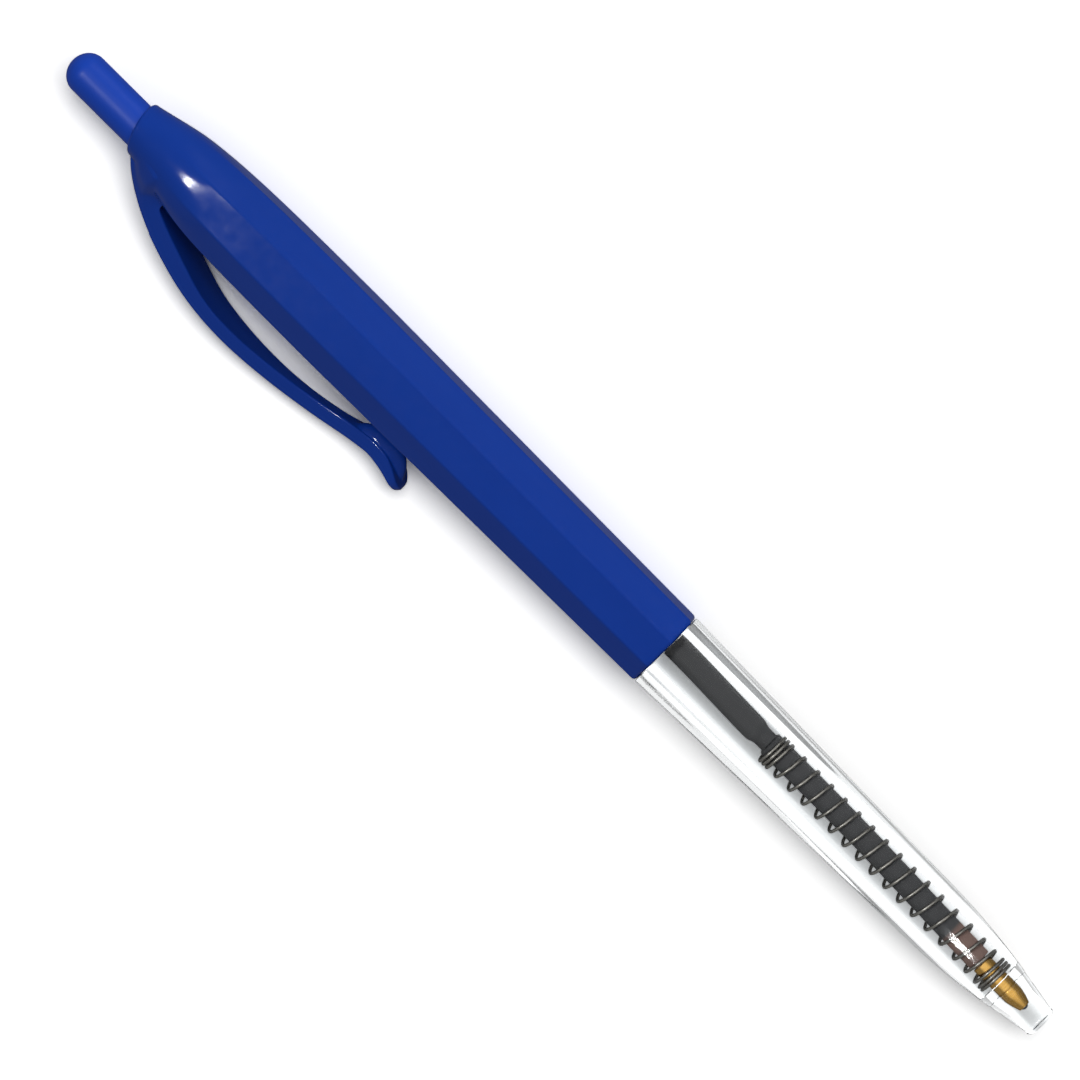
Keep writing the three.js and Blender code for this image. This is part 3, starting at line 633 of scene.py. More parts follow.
# Barrel from the branch to its rounded mouth, with the clip's root on it. The split lies on the clip's side,
# at the height where the web ends.
def upperBody(root):
    roundZ = pen["mouth"] - shell["mouthRound"]
    neckZ = np.linspace(root["z"], pen["mouth"] - shell["neckTop"], 52)
    closeZ = np.linspace(pen["mouth"] - shell["neckTop"] + shell["closeRows"], roundZ, 6)
    roundOver = quarterTurn(10)[1:]
    overZ = roundZ + (shell["mouthRound"] - shell["mouthEdge"]) * np.sin(roundOver)
    overIn = (shell["rimR"] - shell["holeR"] - shell["mouthLip"]) * (1 - np.cos(roundOver))
    z = np.concatenate([neckZ, closeZ, overZ])[:, None]
    inset = np.concatenate([np.zeros(len(neckZ) + len(closeZ)), overIn])[:, None]
    splitAngle = math.atan2(root["half"], root["middleX"])

    def radiusOf(z, angle):
        atMost = np.minimum(z, roundZ)
        return ridgedRadius(atMost, angle, rootHeight, clip["ease"], clip["crown"], rootFillet) - inset

    def splitOf(measure, dense):
        return measure[:, -1] * np.interp(splitAngle, dense[0], measure[0] / measure[0, -1])

    return barrelRows(z, radiusOf, splitOf)


# Half of every section of the clip, as [across, down] pairs: crowned top, eased edge, side and lower edge.
def sectionTop(wide, depth, ease, under):
    flatTop = (wide - ease) * np.linspace(0, 1, 40)
    crownAt = clip["crown"] * (1 - ease / wide) ** 2
    bow = quarterTurn(40)[1:]
    across = np.concatenate([
        flatTop, wide - ease + ease * np.sin(bow), wide + 0 * bow, wide - under + under * np.cos(bow)], 1)
    down = np.concatenate([
        clip["crown"] * (flatTop / wide) ** 2, crownAt + ease * (1 - np.cos(bow)),
        mix(crownAt + ease, depth - under, np.linspace(0, 1, 39)), depth - under + under * np.sin(bow)], 1)
    top = np.stack([across, down], -1)
    measure = measured(top)
    return resampled(top, measure, measure[:, -1:] * shares(shell["ridge"]))


# Clip beyond the branch: rings along its outer line, which turn square to it and end in a round tip.
def clipStrip(root):
    c, lineX, lineZ = clip, root["lineX"], root["lineZ"]
    length = np.concatenate([[0], np.cumsum(np.hypot(np.diff(lineX), np.diff(lineZ)))])
    start, end = length[root["cut"]], length[-1] - c["tipBack"]
    arch = c["archUp"] * (1 - np.cos(quarterTurn(11)))[1:]
    tip = c["tipRound"] * np.sin(quarterTurn(25))[1:]
    straight = np.linspace(start + c["archUp"], end - c["tipRound"], 96)[1:]
    place = np.concatenate([start + arch, straight, end - c["tipRound"] + tip])
    pointX, pointZ = np.interp(place, length, lineX), np.interp(place, length, lineZ)
    square = np.stack([np.interp(place, length, root["inward"][:, k]) for k in range(2)], -1)
    way = mix(root["way"], square, smoothStep(place - start, 0, c["squareBy"])[:, None])
    way /= np.linalg.norm(way, axis=1)[:, None]

    # Width, depth and edges of each section
    drop = pen["mouth"] - pointZ
    depth = clipThickness(drop) / np.sum(way * square, 1)
    rise = np.clip((place - start) / c["archUp"], 0, 1)
    extra = (lineX[root["cut"]] - root["middleX"]) * math.hypot(1, root["lean"]) - depth[0]
    depth = depth + extra * (1 - np.sqrt(1 - (1 - rise) ** 2))
    left = np.clip((end - place) / c["tipRound"], 0, 1)
    wide = clipHalf(drop) * np.sqrt(np.maximum(1 - (1 - left) ** 2, c["tipNarrowest"]))
    thin = np.clip((end - place) / c["tipEdge"], 0, 1)
    thin = np.sqrt(np.maximum(1 - (1 - thin) ** 2, c["tipThinnest"]))[:, None]
    ease = np.minimum(np.minimum(c["ease"], wide / c["easeToWidth"]), depth / c["easeToDepth"])
    under = np.minimum(c["easeUnder"] * np.sqrt(1 - (1 - rise) ** 2), ease)
    wide, depth, ease, under = (value[:, None] for value in (wide, depth, ease, under))
    top = sectionTop(wide, depth, ease, under)
    top[..., 1] = depth / 2 + (top[..., 1] - depth / 2) * thin

    # Underside, which stays clear of the barrel's skin
    ridge = shell["ridge"]
    bottom = np.stack([top[:, -1:, 0] * shares(ridge), depth / 2 * (1 + thin) + 0 * shares(ridge)], -1)
    barrelR = cornerRadius(pointZ)[:, None]
    angle = np.arcsin(np.clip(bottom[..., 0] / barrelR, 0, 0.7))
    skinR = cornered(angle, barrelR, 1 - neckFade(pointZ)[:, None], shell["cornerRound"])
    skin = skinR * np.cos(angle) + c["gap"]
    bottom[..., 1] = np.minimum(bottom[..., 1], (skin - pointX[:, None]) / way[:, :1])

    # Bead underneath, which falls off with the square of the distance from its middle
    footX = cornerRadius(np.array(pen["mouth"] - c["beadDrop"])) + c["beadGap"]
    acrossBead = bottom[..., 0] / (c["beadWidth"] / 2)
    alongBead = (drop[:, None] - c["beadDrop"]) / (c["beadLength"] / 2)
    proud = np.maximum(pointX[:, None] + way[:, :1] * depth - footX, 0)
    swell = np.maximum(1 - (acrossBead**2 + alongBead**2), 0) ** c["beadSwell"]
    bottom[..., 1] += proud * swell * (1 - smoothStep(bottom[..., 0] / wide, *c["beadFade"]))

    ring = np.concatenate([top, bottom[:, -2::-1], bottom[:, 1:-1] * [-1, 1], top[:, :0:-1] * [-1, 1]], 1)
    across, down = ring[..., 0], ring[..., 1]
    return np.stack([pointX[:, None] + way[:, :1] * down, across, pointZ[:, None] + way[:, 1:] * down], -1)


# Inside from the mouth down: hole for the button, shoulder, bore with four saw-ended guide ribs, and the
# socket for the front. The angles start as the mouth has them and end as the seam has them.
def barrelInside(upper, lower):
    s = shell
    rim = np.arctan2(upper[-1, :, 1], upper[-1, :, 0]) % (2 * math.pi)
    foot = np.arctan2(lower[0, :, 1], lower[0, :, 0]) % (2 * math.pi)
    turn = np.degrees(rim) % 90
    ribbed = (turn > s["guideStart"]) | (turn < s["guideEnd"])
    ribR = np.where(ribbed, s["guideR"], s["boreR"])
    ribLow = s["guideLow"] + sawHeight(rim)
    mouthLine = pen["mouth"] - s["mouthEdge"] - s["lean"] * s["holeR"] * np.cos(rim)
    inside = [(s["holeR"], mouthLine - s["holeEase"], rim)]
    inside += [(s["holeR"], mix(mouthLine, pen["stop"], k), rim) for k in (0.25, 0.5, 0.75, 1)]
    inside += [(ribR, pen["stop"], rim)]
    inside += [(ribR, mix(pen["stop"], ribLow, k), rim) for k in (0.33, 0.66, 1)]
    inside += [(s["boreR"], ribLow, rim)]
    inside += [
        (s["boreR"], mix(ribLow, s["socketEnd"], k), mix(rim, foot, k)) for k in np.linspace(0.1, 1, 12)]
    inside += [(s["socketR"], s["socketEnd"] - s["socketEase"], foot)]
    inside += [(s["socketR"], mix(s["socketEnd"], pen["seam"], k), foot) for k in (0.33, 0.66, 0.99)]
    inside += [(s["socketR"] + s["socketEdge"], pen["seam"], foot)]
    return np.stack([roundAxis(r, a, h) for r, h, a in inside])


# The barrel's skin in two grids that meet where the clip branches off, the inside, and the clip, with the
# shared points of the branch counted once.
def upperBarrel():
    root = clipRoot()
    lower, upper, strip = lowerBody(root), upperBody(root), clipStrip(root)
    inner = barrelInside(upper, lower)
    tipPole = strip[-1].mean(0)

    ridge, count, stripCount = shell["ridge"], lower.shape[1], strip.shape[1]
    upperStart = lower.shape[0] * count
    innerStart = upperStart + upper.shape[0] * count
    stripStart = innerStart + inner.shape[0] * count
    poleIndex = stripStart + strip.shape[0] * stripCount
    grids = [grid.reshape(-1, 3) for grid in (lower, upper, inner, strip)]
    points = np.concatenate([*grids, tipPole[None]])

    same = np.arange(len(points))
    column = np.arange(count)
    offRidge = column[(column >= ridge) & (column <= count - ridge)]
    lowerTop = upperStart - count
    same[lowerTop + offRidge] = upperStart + offRidge

    def band(rowA, rowB):
        after = np.roll(column, -1)
        return np.stack([rowA + column, rowA + after, rowB + after, rowB + column], -1)

    branch = np.concatenate([
        upperStart + column[:ridge + 1], lowerTop + column[ridge - 1::-1],
        lowerTop + column[:count - ridge:-1], upperStart + column[count - ridge:]])
    around = np.arange(stripCount)
    beside = np.roll(around, -1)
    faces = same[np.concatenate([
        gridFaces(lower.shape[0], count),
        gridFaces(upper.shape[0], count, first=upperStart),
        band(innerStart - count, innerStart),
        gridFaces(inner.shape[0], count, first=innerStart),
        band(stripStart - count, 0),
        np.stack([branch[around], stripStart + around, stripStart + beside, branch[beside]], -1),
        gridFaces(strip.shape[0], stripCount, first=stripStart)[:, ::-1],
        poleFaces(poleIndex, poleIndex - stripCount, stripCount, turnedRound=True),
    ])]
    used, index = np.unique(faces, return_inverse=True)
    points, faces = points[used], index.reshape(faces.shape)
    return points, outwards(points, faces)


newPiece("blue_barrel", *upperBarrel(), barrelBlue, "barrel", "barrel_blue", "upper_barrel", 50)

# Clear front
front = {
    "edgeR": 1.82, "edge": 0.35, "taperEnd": 16.0, "taperR": 3.66, "edgeHandle": (4.2, 0.76),
    "taperHandle": (5.5, 0.1), "stepAt": 5.1, "step": 0.07, "stepHalf": 0.03, "cornerRound": 1.1,
    "holeR": 1.25, "holeEnd": 3.2, "reliefR": 1.5, "reliefEnd": 5.05, "chamberR": 2.3, "springSeat": 6.3,
    "spigotR": 3.52, "spigotBoreR": 2.6, "softEdge": 0.06, "spigotEdge": (0.21, 0.3),
    "seamBack": (0.12, 0.03, 0), "seamIn": (0.05, 0.14), "shoulder": [(0, 0.25), (-0.02, 0.05)],
    "corners": [0, 0.05, 0.1, 0.15, 0.2, 0.25, 0.3, 0.36, 0.5, 0.75, 1],
}


# Outside of the clear front from the round nose edge to the seam, as z and radius: a curved nose with a small
# step, then a straight taper.
def frontOutside():
    f = front
    edge = arc((f["edgeR"] - f["edge"], f["edge"]), f["edge"], -90, 0, 8)
    nose = bezier([
        (f["edge"], f["edgeR"]),
        (f["edge"] + f["edgeHandle"][0], f["edgeR"] + f["edgeHandle"][1]),
        (f["taperEnd"] - f["taperHandle"][0], f["taperR"] - f["taperHandle"][1]),
        (f["taperEnd"], f["taperR"]),
    ], 60)[1:]
    close = f["stepAt"] + np.array([-f["stepHalf"], -f["stepHalf"] / 3, f["stepHalf"] / 3, f["stepHalf"]])
    noseZ = np.sort(np.concatenate([nose[:, 0], close]))
    stepped = f["step"] * (1 - smoothStep(noseZ, f["stepAt"] - f["stepHalf"], f["stepAt"] + f["stepHalf"]))
    noseR = np.interp(noseZ, nose[:, 0], nose[:, 1]) - stepped
    slope = (pen["jointR"] - f["taperR"]) / (pen["nose"] - f["taperEnd"])
    flatZ = np.linspace(f["taperEnd"], pen["nose"] - f["seamBack"][0], 70)[1:]
    flatR = f["taperR"] + slope * (flatZ - f["taperEnd"])
    z = np.concatenate([edge[:, 1], noseZ, flatZ, pen["nose"] - np.array(f["seamBack"][1:])])
    r = np.concatenate([edge[:, 0], noseR, flatR, pen["jointR"] - np.array(f["seamIn"])])
    return z, r


# The rest of its outline: over the spigot, down the bore to the spring's seat, and out by the point's hole.
def frontInside():
    f, soft = front, front["softEdge"]
    inner = [(pen["nose"] + along, f["spigotR"] + out) for along, out in f["shoulder"]]
    inner += [(pen["nose"] + soft, f["spigotR"])]
    inner += [(z, f["spigotR"]) for z in np.linspace(pen["nose"] + 0.6, pen["spigotEnd"] - 0.4, 12)]
    inner += [
        (pen["spigotEnd"] - soft, f["spigotR"] - f["spigotEdge"][0]),
        (pen["spigotEnd"], f["spigotR"] - f["spigotEdge"][1]),
        (pen["spigotEnd"], f["spigotBoreR"] + soft), (pen["spigotEnd"] - soft, f["spigotBoreR"])]
    boreZ = np.linspace(pen["spigotEnd"] - 0.5, f["springSeat"] + 0.3, 60)
    depth = (boreZ - f["springSeat"]) / (pen["spigotEnd"] - f["springSeat"])
    inner += list(zip(boreZ, mix(f["chamberR"], f["spigotBoreR"], depth)))
    inner += [
        (f["springSeat"] + 0.05, f["chamberR"]), (f["springSeat"], f["chamberR"] - 0.05),
        (f["springSeat"], f["reliefR"] + soft), (f["springSeat"] - soft, f["reliefR"]),
        (f["reliefEnd"], f["reliefR"])]
    funnel = f["reliefEnd"] - f["holeEnd"]
    inner += [
        (z, mix(f["holeR"], f["reliefR"], (z - f["holeEnd"]) / funnel)) for z in (4.4, 3.8, f["holeEnd"])]
    inner += [(z, f["holeR"]) for z in (2.4, 1.6, 0.8, 0.1)] + [(0.02, f["holeR"] + soft)]
    return np.array(inner).T


# Rings along the whole outline. Outside, each fades from a circle at the nose to eight sides at the seam.
def frontBarrel():
    angle = ringAngles(front["corners"])
    z, r = frontOutside()
    innerZ, innerR = frontInside()
    flatness = np.clip((z - front["taperEnd"]) / (pen["nose"] - front["taperEnd"]), 0, 1)
    outer = cornered(angle[None, :], r[:, None], flatness[:, None], front["cornerRound"])
    radius = np.concatenate([outer, innerR[:, None] + 0 * angle[None, :]])
    return hollow(roundAxis(radius, angle, np.concatenate([z, innerZ])[:, None]))


newPiece("clear_front", *frontBarrel(), clear, "barrel", "clear_plastic", "front_barrel", 30)

# Push button: in each quarter turn a spline stands out of the skirt between two angles
button = {
    "stemR": 2.285, "skirtR": 2.5, "runR": 3.2, "dome": 2.1, "boreR": 1.25, "boreTop": 133.75,
    "splineStart": 2.6, "splineEnd": 30.6, "splineEdge": 0.12, "edge": 0.08, "crownEdge": 0.06, "notch": 0.2,
}


# Rings from the dome's pole down the stem and the splined skirt to the saw-cut crown, and up the bore.
def pushButton():
    b = button
    sides = (np.array([b["splineStart"], b["splineEnd"]])[:, None] + 90 * np.arange(4)).ravel()
    tips = np.arange(0, 360, float(saw["pitch"]))
    returns = np.arange(saw["flank"], 360, float(saw["pitch"]))
    angle = np.radians(np.unique(np.concatenate([
        np.arange(0, 360, 3.0), tips, returns, sides + b["splineEdge"], sides - b["splineEdge"]])))
    zero = 0 * angle
    turn = np.degrees(angle) % 90
    splined = (turn > b["splineStart"]) & (turn < b["splineEnd"])
    skirt = np.where(splined, b["runR"], b["skirtR"])
    crown = pen["crown"] + sawHeight(angle)
    domeFoot = pen["end"] - b["dome"]
    fromPole = np.linspace(math.pi / 2, 0, 26)[1:]
    rows = [(b["stemR"] * math.cos(a), pen["end"] - b["dome"] * (1 - math.sin(a))) for a in fromPole]
    rows += [(b["stemR"], z) for z in np.linspace(domeFoot - 0.6, pen["skirtTop"], 20)]
    rows += [(skirt - b["edge"], pen["skirtTop"]), (skirt, pen["skirtTop"] - b["edge"])]
    rows += [(skirt, mix(pen["skirtTop"], crown + b["notch"], share)) for share in (0.33, 0.66, 0.99, 1)]
    rows += [(b["skirtR"], crown + b["notch"]), (b["skirtR"], crown + b["crownEdge"])]
    rows += [(b["skirtR"] - b["crownEdge"], crown), (b["boreR"], crown)]
    rows += [(b["boreR"], mix(crown, b["boreTop"], share)) for share in (0.2, 0.5, 0.8, 1)]
    radius, height = (np.stack([row[i] + zero for row in rows]) for i in range(2))
    rings = roundAxis(radius, angle, height)
    return capped(rings, [0, 0, pen["end"]], [0, 0, b["boreTop"] + b["boreR"] / 2])


newPiece("button_cap", *pushButton(), buttonBlue, "button", "button_blue", "push_button", 35)

# Refill. A lean is how far it moves aside, and between which heights. Its ends are rounded over by two steps
# in and two back.
refill = {
    "front": 9.3, "tail": 106.03, "tubeR": 1.3, "boreR": 0.85, "wingZ": 40.5, "wingLength": 2.1, "wide": 1.95,
    "narrow": 0.95, "wingAngle": 124, "wingRows": (39.8, 43.2), "boreWide": 0.1, "boreNarrow": -0.35,
    "inkR": 0.78, "inkFront": 13.8, "inkTail": 92.03, "inkBow": 0.25, "sides": 72,
    "wingRise": (-0.22, 0.02), "wingFlat": 0.9, "endIn": [0.12, 0.03], "endBack": (0.05, 0.2),
    "leans": [(0.66, 2, 34), (0.4, 42, 54), (-1.06, 60, 104)],
}


# How far the slack refill leans aside at each height, away from the barrel's upper flat.
def leanedAside(points):
    z = points[..., 2]
    aside = sum(reach * smoothStep(z, start, end) for reach, start, end in refill["leans"])
    turn = math.radians(pen["sideways"])
    return points + np.stack([aside * math.cos(turn), aside * math.sin(turn), 0 * z], -1)


# How far the tube is squeezed flat at each height: two wings behind the spring.
def squeezed(z):
    start, end = refill["wingZ"], refill["wingZ"] + refill["wingLength"]
    low, high = refill["wingRise"]
    return smoothStep(z, start + low, start + high) * (1 - smoothStep(z, start + refill["wingFlat"], end))


# Heights up the refill, closer together at the wings.
def refillHeights(low, high, count, wingCount):
    wings = np.linspace(*refill["wingRows"], wingCount)
    return np.unique(np.concatenate([np.linspace(low, high, count), wings]))


# Rings of ovals up the refill, with their long side across the wings.
def ovals(z, long, short):
    angle = fullTurn(refill["sides"])
    turn = math.radians(refill["wingAngle"])
    u, v = long[:, None] * np.cos(angle), short[:, None] * np.sin(angle)
    x = u * math.cos(turn) - v * math.sin(turn)
    y = u * math.sin(turn) + v * math.cos(turn)
    return leanedAside(np.stack([x, y, z[:, None] + 0 * angle], -1))


# Tube: ovals up the outside and down the bore, which follows the squeeze. Both ends are rounded over.
def refillTube():
    f = refill
    edge, full = f["endBack"]
    z = refillHeights(f["front"] + full, f["tail"] - full, 60, 50)
    pinch = squeezed(z)
    endR = f["tubeR"] - np.array(f["endIn"])
    outLong, outShort = (
        np.concatenate([endR, mix(f["tubeR"], f[side], pinch), endR[::-1]]) for side in ("wide", "narrow"))
    bore = [f["boreR"]] * 2
    inLong, inShort = (
        np.concatenate([bore, f["boreR"] + f[side] * pinch, bore]) for side in ("boreWide", "boreNarrow"))
    z = np.concatenate([[f["front"], f["front"] + edge], z, [f["tail"] - edge, f["tail"]]])
    long, short = np.concatenate([outLong, inLong[::-1]]), np.concatenate([outShort, inShort[::-1]])
    return hollow(ovals(np.concatenate([z, z[::-1]]), long, short))


newPiece("ink_tube", *refillTube(), tubeBlack, "refill", "tube_black", "refill_tube", 30)


# Ink: the same ovals a little inside the bore, with a bowed surface at the back.
def inkCore():
    f = refill
    bow = np.linspace(0, 1, 8)[1:-1]
    z = refillHeights(f["inkFront"], f["inkTail"], 50, 40)
    pinch = squeezed(z)
    long, short = (
        np.concatenate([f["inkR"] + f[side] * pinch, f["inkR"] * np.sqrt(1 - bow**2)])
        for side in ("boreWide", "boreNarrow"))
    rings = ovals(np.concatenate([z, f["inkTail"] - f["inkBow"] * bow]), long, short)
    return capped(rings, rings[0].mean(0), rings[-1].mean(0))


newPiece("ink_core", *inkCore(), inkDark, "refill", "ink", "ink_column", 60)

# Brass point and its ball, drawn back into the barrel
point = {
    "ballR": 0.5, "ballZ": 2.9, "seatGap": 0.03, "lipAhead": 0.24, "lipWall": 0.15,
    "cone": 2.0, "coneMiddle": (1.04, 1.0), "collarR": 1.12, "collar": 4.6, "edge": 0.15,
    "shankR": 0.75, "shank": 4.5, "shankEdge": 0.1, "inkHoleR": 0.22,
}


# Turned outline of the brass point: curved cone, collar with eased ends, shank in the tube, ball seat.
def pointSocket():
    p = point
    seatR = p["ballR"] + p["seatGap"]
    lipR = math.sqrt(seatR**2 - p["lipAhead"]**2)
    lipZ = p["ballZ"] - p["lipAhead"]
    coneEnd = p["ballZ"] - p["ballR"] + p["cone"]
    t = np.linspace(0, 1, 24)[:, None]
    a = np.array([lipR + p["lipWall"], lipZ])
    b = np.array([p["coneMiddle"][0], lipZ + p["coneMiddle"][1]])
    c = np.array([p["collarR"], coneEnd])
    outline = ((1 - t) ** 2 * a + 2 * t * (1 - t) * b + t * t * c).tolist()
    collarBack, shankBack = coneEnd + p["collar"], coneEnd + p["collar"] + p["shank"]
    eased = (p["collarR"] - p["edge"], collarBack - p["edge"])
    outline += [[p["collarR"], z] for z in np.linspace(coneEnd + 0.3, eased[1], 8)]
    outline += arc(eased, p["edge"], 15, 90, 6).tolist()
    outline += [[p["shankR"], collarBack], [p["shankR"], shankBack - p["shankEdge"]]]
    outline += [[p["shankR"] - p["shankEdge"], shankBack], [p["inkHoleR"], shankBack]]
    back = math.degrees(math.acos(p["inkHoleR"] / seatR))
    ahead = -math.degrees(math.asin(p["lipAhead"] / seatR))
    outline += arc((0, p["ballZ"]), seatR, back, ahead, 12).tolist()
    return turned(outline, 80)


newPiece("brass_point", *pointSocket(), brass, "refill", "brass", "point_socket", 35)


# Ball: circles of latitude between two poles.
def pointBall():
    steps = arc((0, point["ballZ"]), point["ballR"], -90, 90, 33)
    steps[0, 0] = steps[-1, 0] = 0
    return turned(steps, 48)


newPiece("writing_ball", *pointBall(), ballSteel, "ball", "ball_steel", "point_ball", 60)

# Return spring. The rise of a turn changes along the spring: close turns, then wider, even, close again.
spring = {
    "wireR": 0.19, "coilR": 1.86, "low": 6.6, "high": 40.2,
    "sides": 12, "perTurn": 40, "turns": 20.9, "leans": [(0.28, 7, 14), (0.12, 16, 38)],
    "turnAt": [0, 1.6, 2.1, 2.6, 3.6, 4.6, 5.6, 7, 17.2, 17.9, 18.4, 20.9],
    "riseAt": [0.40, 0.42, 0.75, 1.35, 1.62, 2.0, 2.1, 2.02, 1.98, 1.6, 0.5, 0.46],
}


# Wire carried along a left-hand helix: a circle square to the line, whose rise a turn is read off the table
# of turns and summed along the line.
def returnSpring():
    s = spring
    turn = np.linspace(0, s["turns"], int(s["turns"] * s["perTurn"]))
    rise = np.interp(turn, s["turnAt"], s["riseAt"])
    z = np.concatenate([[0], np.cumsum((rise[1:] + rise[:-1]) / 2 * np.diff(turn))])
    z = s["low"] + s["wireR"] + z * (s["high"] - s["low"] - 2 * s["wireR"]) / z[-1]
    side = math.radians(pen["sideways"])
    angle = side - turn * 2 * math.pi
    aside = sum(reach * smoothStep(z, start, end) for reach, start, end in s["leans"])
    x = s["coilR"] * np.cos(angle) + aside * math.cos(side)
    y = s["coilR"] * np.sin(angle) + aside * math.sin(side)
    line = np.stack([x, y, z], -1)
    along = np.gradient(line, axis=0)
    along /= np.linalg.norm(along, axis=1)[:, None]
    out = np.stack([np.cos(angle), np.sin(angle), 0 * angle], -1)
    up = np.cross(along, out)
    up /= np.linalg.norm(up, axis=1)[:, None]
    out = np.cross(up, along)
    around = fullTurn(s["sides"])[:, None]
    circle = out[:, None] * np.cos(around) + up[:, None] * np.sin(around)
    return capped(line[:, None] + s["wireR"] * circle, line[0], line[-1])


coils = newPiece("wire_spring", *returnSpring(), springSteel, "barrel", "spring_steel", "return_spring", 60)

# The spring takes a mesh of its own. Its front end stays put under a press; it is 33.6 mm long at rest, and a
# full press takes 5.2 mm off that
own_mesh(coils)

# The rotor keeps its own shape and takes a better finish
kept = bpy.data.objects["rotor"]
penPieces.append(kept)
for place in kept.material_slots:
    place.material = rotorWhite
print("pieces made")

# Camera, as the photograph looks down on the pen: tilted off straight down and turned round its line of sight
view = {
    "tilt": 16.53, "turn": 44.85, "target": (-0.0014, 0.001844, 0.005183), "distance": 0.619,
    "lens": 200, "film": 36,
}


def placeCamera():
    camera = bpy.data.cameras.new("camera")
    camera.lens, camera.sensor_width = view["lens"], view["film"]
    holder = placed("camera", camera)
    a, t = math.radians(view["tilt"]), math.radians(view["turn"])
    right = (math.cos(t), math.sin(t) * math.cos(a), -math.sin(t) * math.sin(a))
    up = (-math.sin(t), math.cos(t) * math.cos(a), -math.cos(t) * math.sin(a))
    back = (0, math.sin(a), math.cos(a))
    turnTo = Matrix((right, up, back)).transposed().to_4x4()
    away = [view["target"][i] + view["distance"] * back[i] for i in range(3)]
    holder.matrix_world = Matrix.Translation(away) @ turnTo
    bpy.context.scene.camera = holder


placeCamera()


# A sum of sockets or plain numbers in a node tree, kept between 0 and 1.
def reckon(tree, kind, a, b):
    return addNode(tree, "Math", {0: a, 1: b}, operation=kind, use_clamp=True).outputs[0]


# Share of rays that come from the eye or through clear plastic: none for those off something dull.
def straightRays(tree, path):
    seen = reckon(tree, "MAXIMUM", path.outputs["Is Camera Ray"], path.outputs["Is Transmission Ray"])
    return reckon(tree, "SUBTRACT", seen, path.outputs["Diffuse Depth"])


# Share of rays that something mirrored, and of those among them that crossed more than two skins of the clear
# plastic as well, so that metal inside it mirrored them.
def mirroredRays(tree, path):
    mirrored = reckon(tree, "MINIMUM", path.outputs["Glossy Depth"], 1.0)
    beyondSkins = reckon(tree, "SUBTRACT", path.outputs["Transmission Depth"], 2.0)
    return mirrored, reckon(tree, "MULTIPLY", mirrored, beyondSkins)


surround = {
    "light": 0.26, "mirror": 0.2, "low": 0.28, "high": 1.0, "edge": 0.95,
    "brightSide": (0, 0.3, 0.95), "dimUpTo": 0.55, "brightFrom": 0.97,
}


# World that is white where the camera sees it, straight or through clear plastic, and softer as light. What
# metal behind the plastic mirrors of it is bright overhead and dim on the shadow side.
def placeSurround():
    world = bpy.data.worlds.new("surround")
    bpy.context.scene.world = world
    world.use_nodes = True
    tree = world.node_tree
    tree.nodes.clear()
    s = surround
    path, towards = (addNode(tree, kind, {}) for kind in ("LightPath", "TexCoord"))
    facing = addNode(tree, "VectorMath", {
        0: towards.outputs["Generated"], 1: s["brightSide"]}, operation="DOT_PRODUCT")
    rise = addNode(tree, "MapRange", {
        "Value": facing.outputs["Value"], "From Min": s["dimUpTo"], "From Max": s["brightFrom"],
        "To Min": s["low"], "To Max": s["high"]}, interpolation_type="SMOOTHSTEP")
    mirrored, inMetal = mirroredRays(tree, path)
    edge = reckon(tree, "MULTIPLY", reckon(tree, "SUBTRACT", mirrored, inMetal), 1 - s["edge"])
    shaded = reckon(tree, "MULTIPLY", inMetal, reckon(tree, "SUBTRACT", 1.0, rise.outputs["Result"]))
    bright = reckon(tree, "SUBTRACT", reckon(tree, "SUBTRACT", 1.0, edge), shaded)
    plain, white, dim = (
        addNode(tree, "Background", {"Color": (1, 1, 1, 1), "Strength": strength}).outputs[0]
        for strength in (s["light"], bright, s["mirror"]))
    light = addNode(tree, "MixShader", {0: path.outputs["Is Glossy Ray"], 1: plain, 2: dim})
    seen = addNode(tree, "MixShader", {0: straightRays(tree, path), 1: light.outputs[0], 2: white})
    addNode(tree, "OutputWorld", {"Surface": seen.outputs[0]})


placeSurround()

floorFinish = {"size": 3.0, "albedo": 0.85, "white": 2.35, "through": 0.08, "inner": 0.5, "mirrored": 0.35}


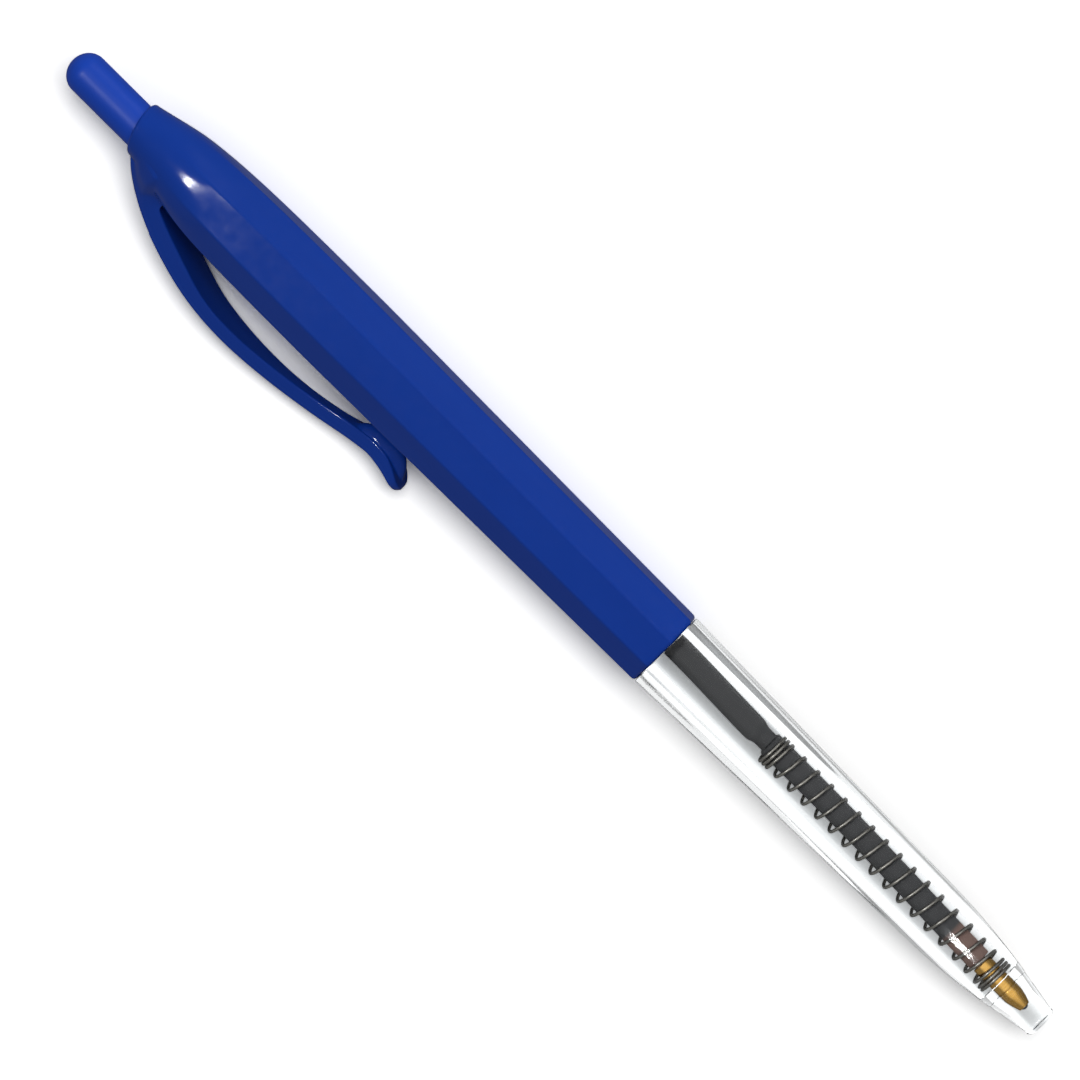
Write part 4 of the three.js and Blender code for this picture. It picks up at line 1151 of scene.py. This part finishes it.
# Flat pale floor. Rays from the eye, and those through clear plastic, see it whiter, so that it comes out
# white where no shadow falls; rays off metal and gloss see it darker.
def placeFloor():
    half = floorFinish["size"] / 2
    corners = [(-half, -half, 0), (half, -half, 0), (half, half, 0), (-half, half, 0)]
    mesh = bpy.data.meshes.new("floor")
    mesh.from_pydata(corners, [], [(0, 1, 2, 3)])
    floor = placed("floor", mesh)
    material, tree, shader, _ = newMaterial("floor")
    path = addNode(tree, "LightPath", {})
    mirrored, inMetal = mirroredRays(tree, path)
    straight = reckon(tree, "SUBTRACT", straightRays(tree, path), inMetal)
    offGloss = reckon(tree, "MAXIMUM", path.outputs["Is Glossy Ray"], inMetal)
    tone = addNode(tree, "Mix", {
        "Factor": offGloss, "A": floorFinish["albedo"], "B": floorFinish["mirrored"]})
    whiter = addNode(tree, "Mix", {
        "Factor": straight, "A": tone.outputs["Result"], "B": floorFinish["white"]})
    seenThrough = reckon(tree, "MULTIPLY", path.outputs["Is Transmission Ray"], floorFinish["through"])
    seenInside = reckon(tree, "MULTIPLY", reckon(tree, "SUBTRACT", mirrored, inMetal), floorFinish["inner"])
    glow = reckon(tree, "MULTIPLY", reckon(tree, "ADD", seenThrough, seenInside), straight)
    setInputs(tree, shader, {
        "Roughness": 1, "Specular IOR Level": 0, "Emission Color": (1, 1, 1, 1),
        "Base Color": whiter.outputs["Result"], "Emission Strength": glow,
    })
    mesh.materials.append(material)


placeFloor()

# Light: a broad lamp high at the back, a low one beside it that the floor does not take, and two small ones
# for the gleams on the neck and on the clear front. The clear front takes its own only, and casts a shadow.
lamps = [
    {"name": "streak", "place": (-0.288, -0.03, 0.9), "size": (0.055, 0.2), "power": 4.4,
     "mirrored": True, "on": ["pen"]},
    {"name": "patch", "place": (0.3, 0.12, 0.9), "size": (0.08, 0.34), "power": 50,
     "mirrored": True, "on": ["clear"]},
    {"name": "high", "place": (0.0, 0.48, 0.87), "size": (0.8, 0.35), "power": 3.2,
     "mirrored": False, "on": ["pen", "floor"]},
    {"name": "side", "place": (0.0, 1.0, 0.3), "size": (0.9, 0.4), "power": 7.6,
     "mirrored": False, "on": ["pen"]},
]


# Sets a lamp that looks at the origin, and links it to the pieces that it falls on.
def placeLamp(settings):
    lamp = bpy.data.lights.new(settings["name"], "AREA")
    lamp.shape = "RECTANGLE"
    lamp.size, lamp.size_y = settings["size"]
    lamp.energy = settings["power"]
    holder = placed(settings["name"], lamp)
    holder.visible_glossy, holder.visible_transmission = settings["mirrored"], False
    taking = bpy.data.collections.new(settings["name"] + " falls on")
    for piece in penPieces + [bpy.data.objects["floor"]]:
        kind = {"clear_front": "clear", "floor": "floor"}.get(piece.name, "pen")
        if kind in settings["on"]:
            taking.objects.link(piece)
    holder.light_linking.receiver_collection = taking
    if settings["on"] == ["clear"]:
        lamp.cycles.max_bounces = 0
    place = np.array(settings["place"])
    back = place / np.linalg.norm(place)
    side = np.cross([0, 1, 0], back)
    side /= np.linalg.norm(side)
    turnTo = Matrix([side.tolist(), np.cross(back, side).tolist(), back.tolist()]).transposed().to_4x4()
    holder.matrix_world = Matrix.Translation(place.tolist()) @ turnTo


for lamp in lamps:
    placeLamp(lamp)

bpy.context.scene.view_settings.view_transform = "Standard"
print("camera, lamps and floor placed")
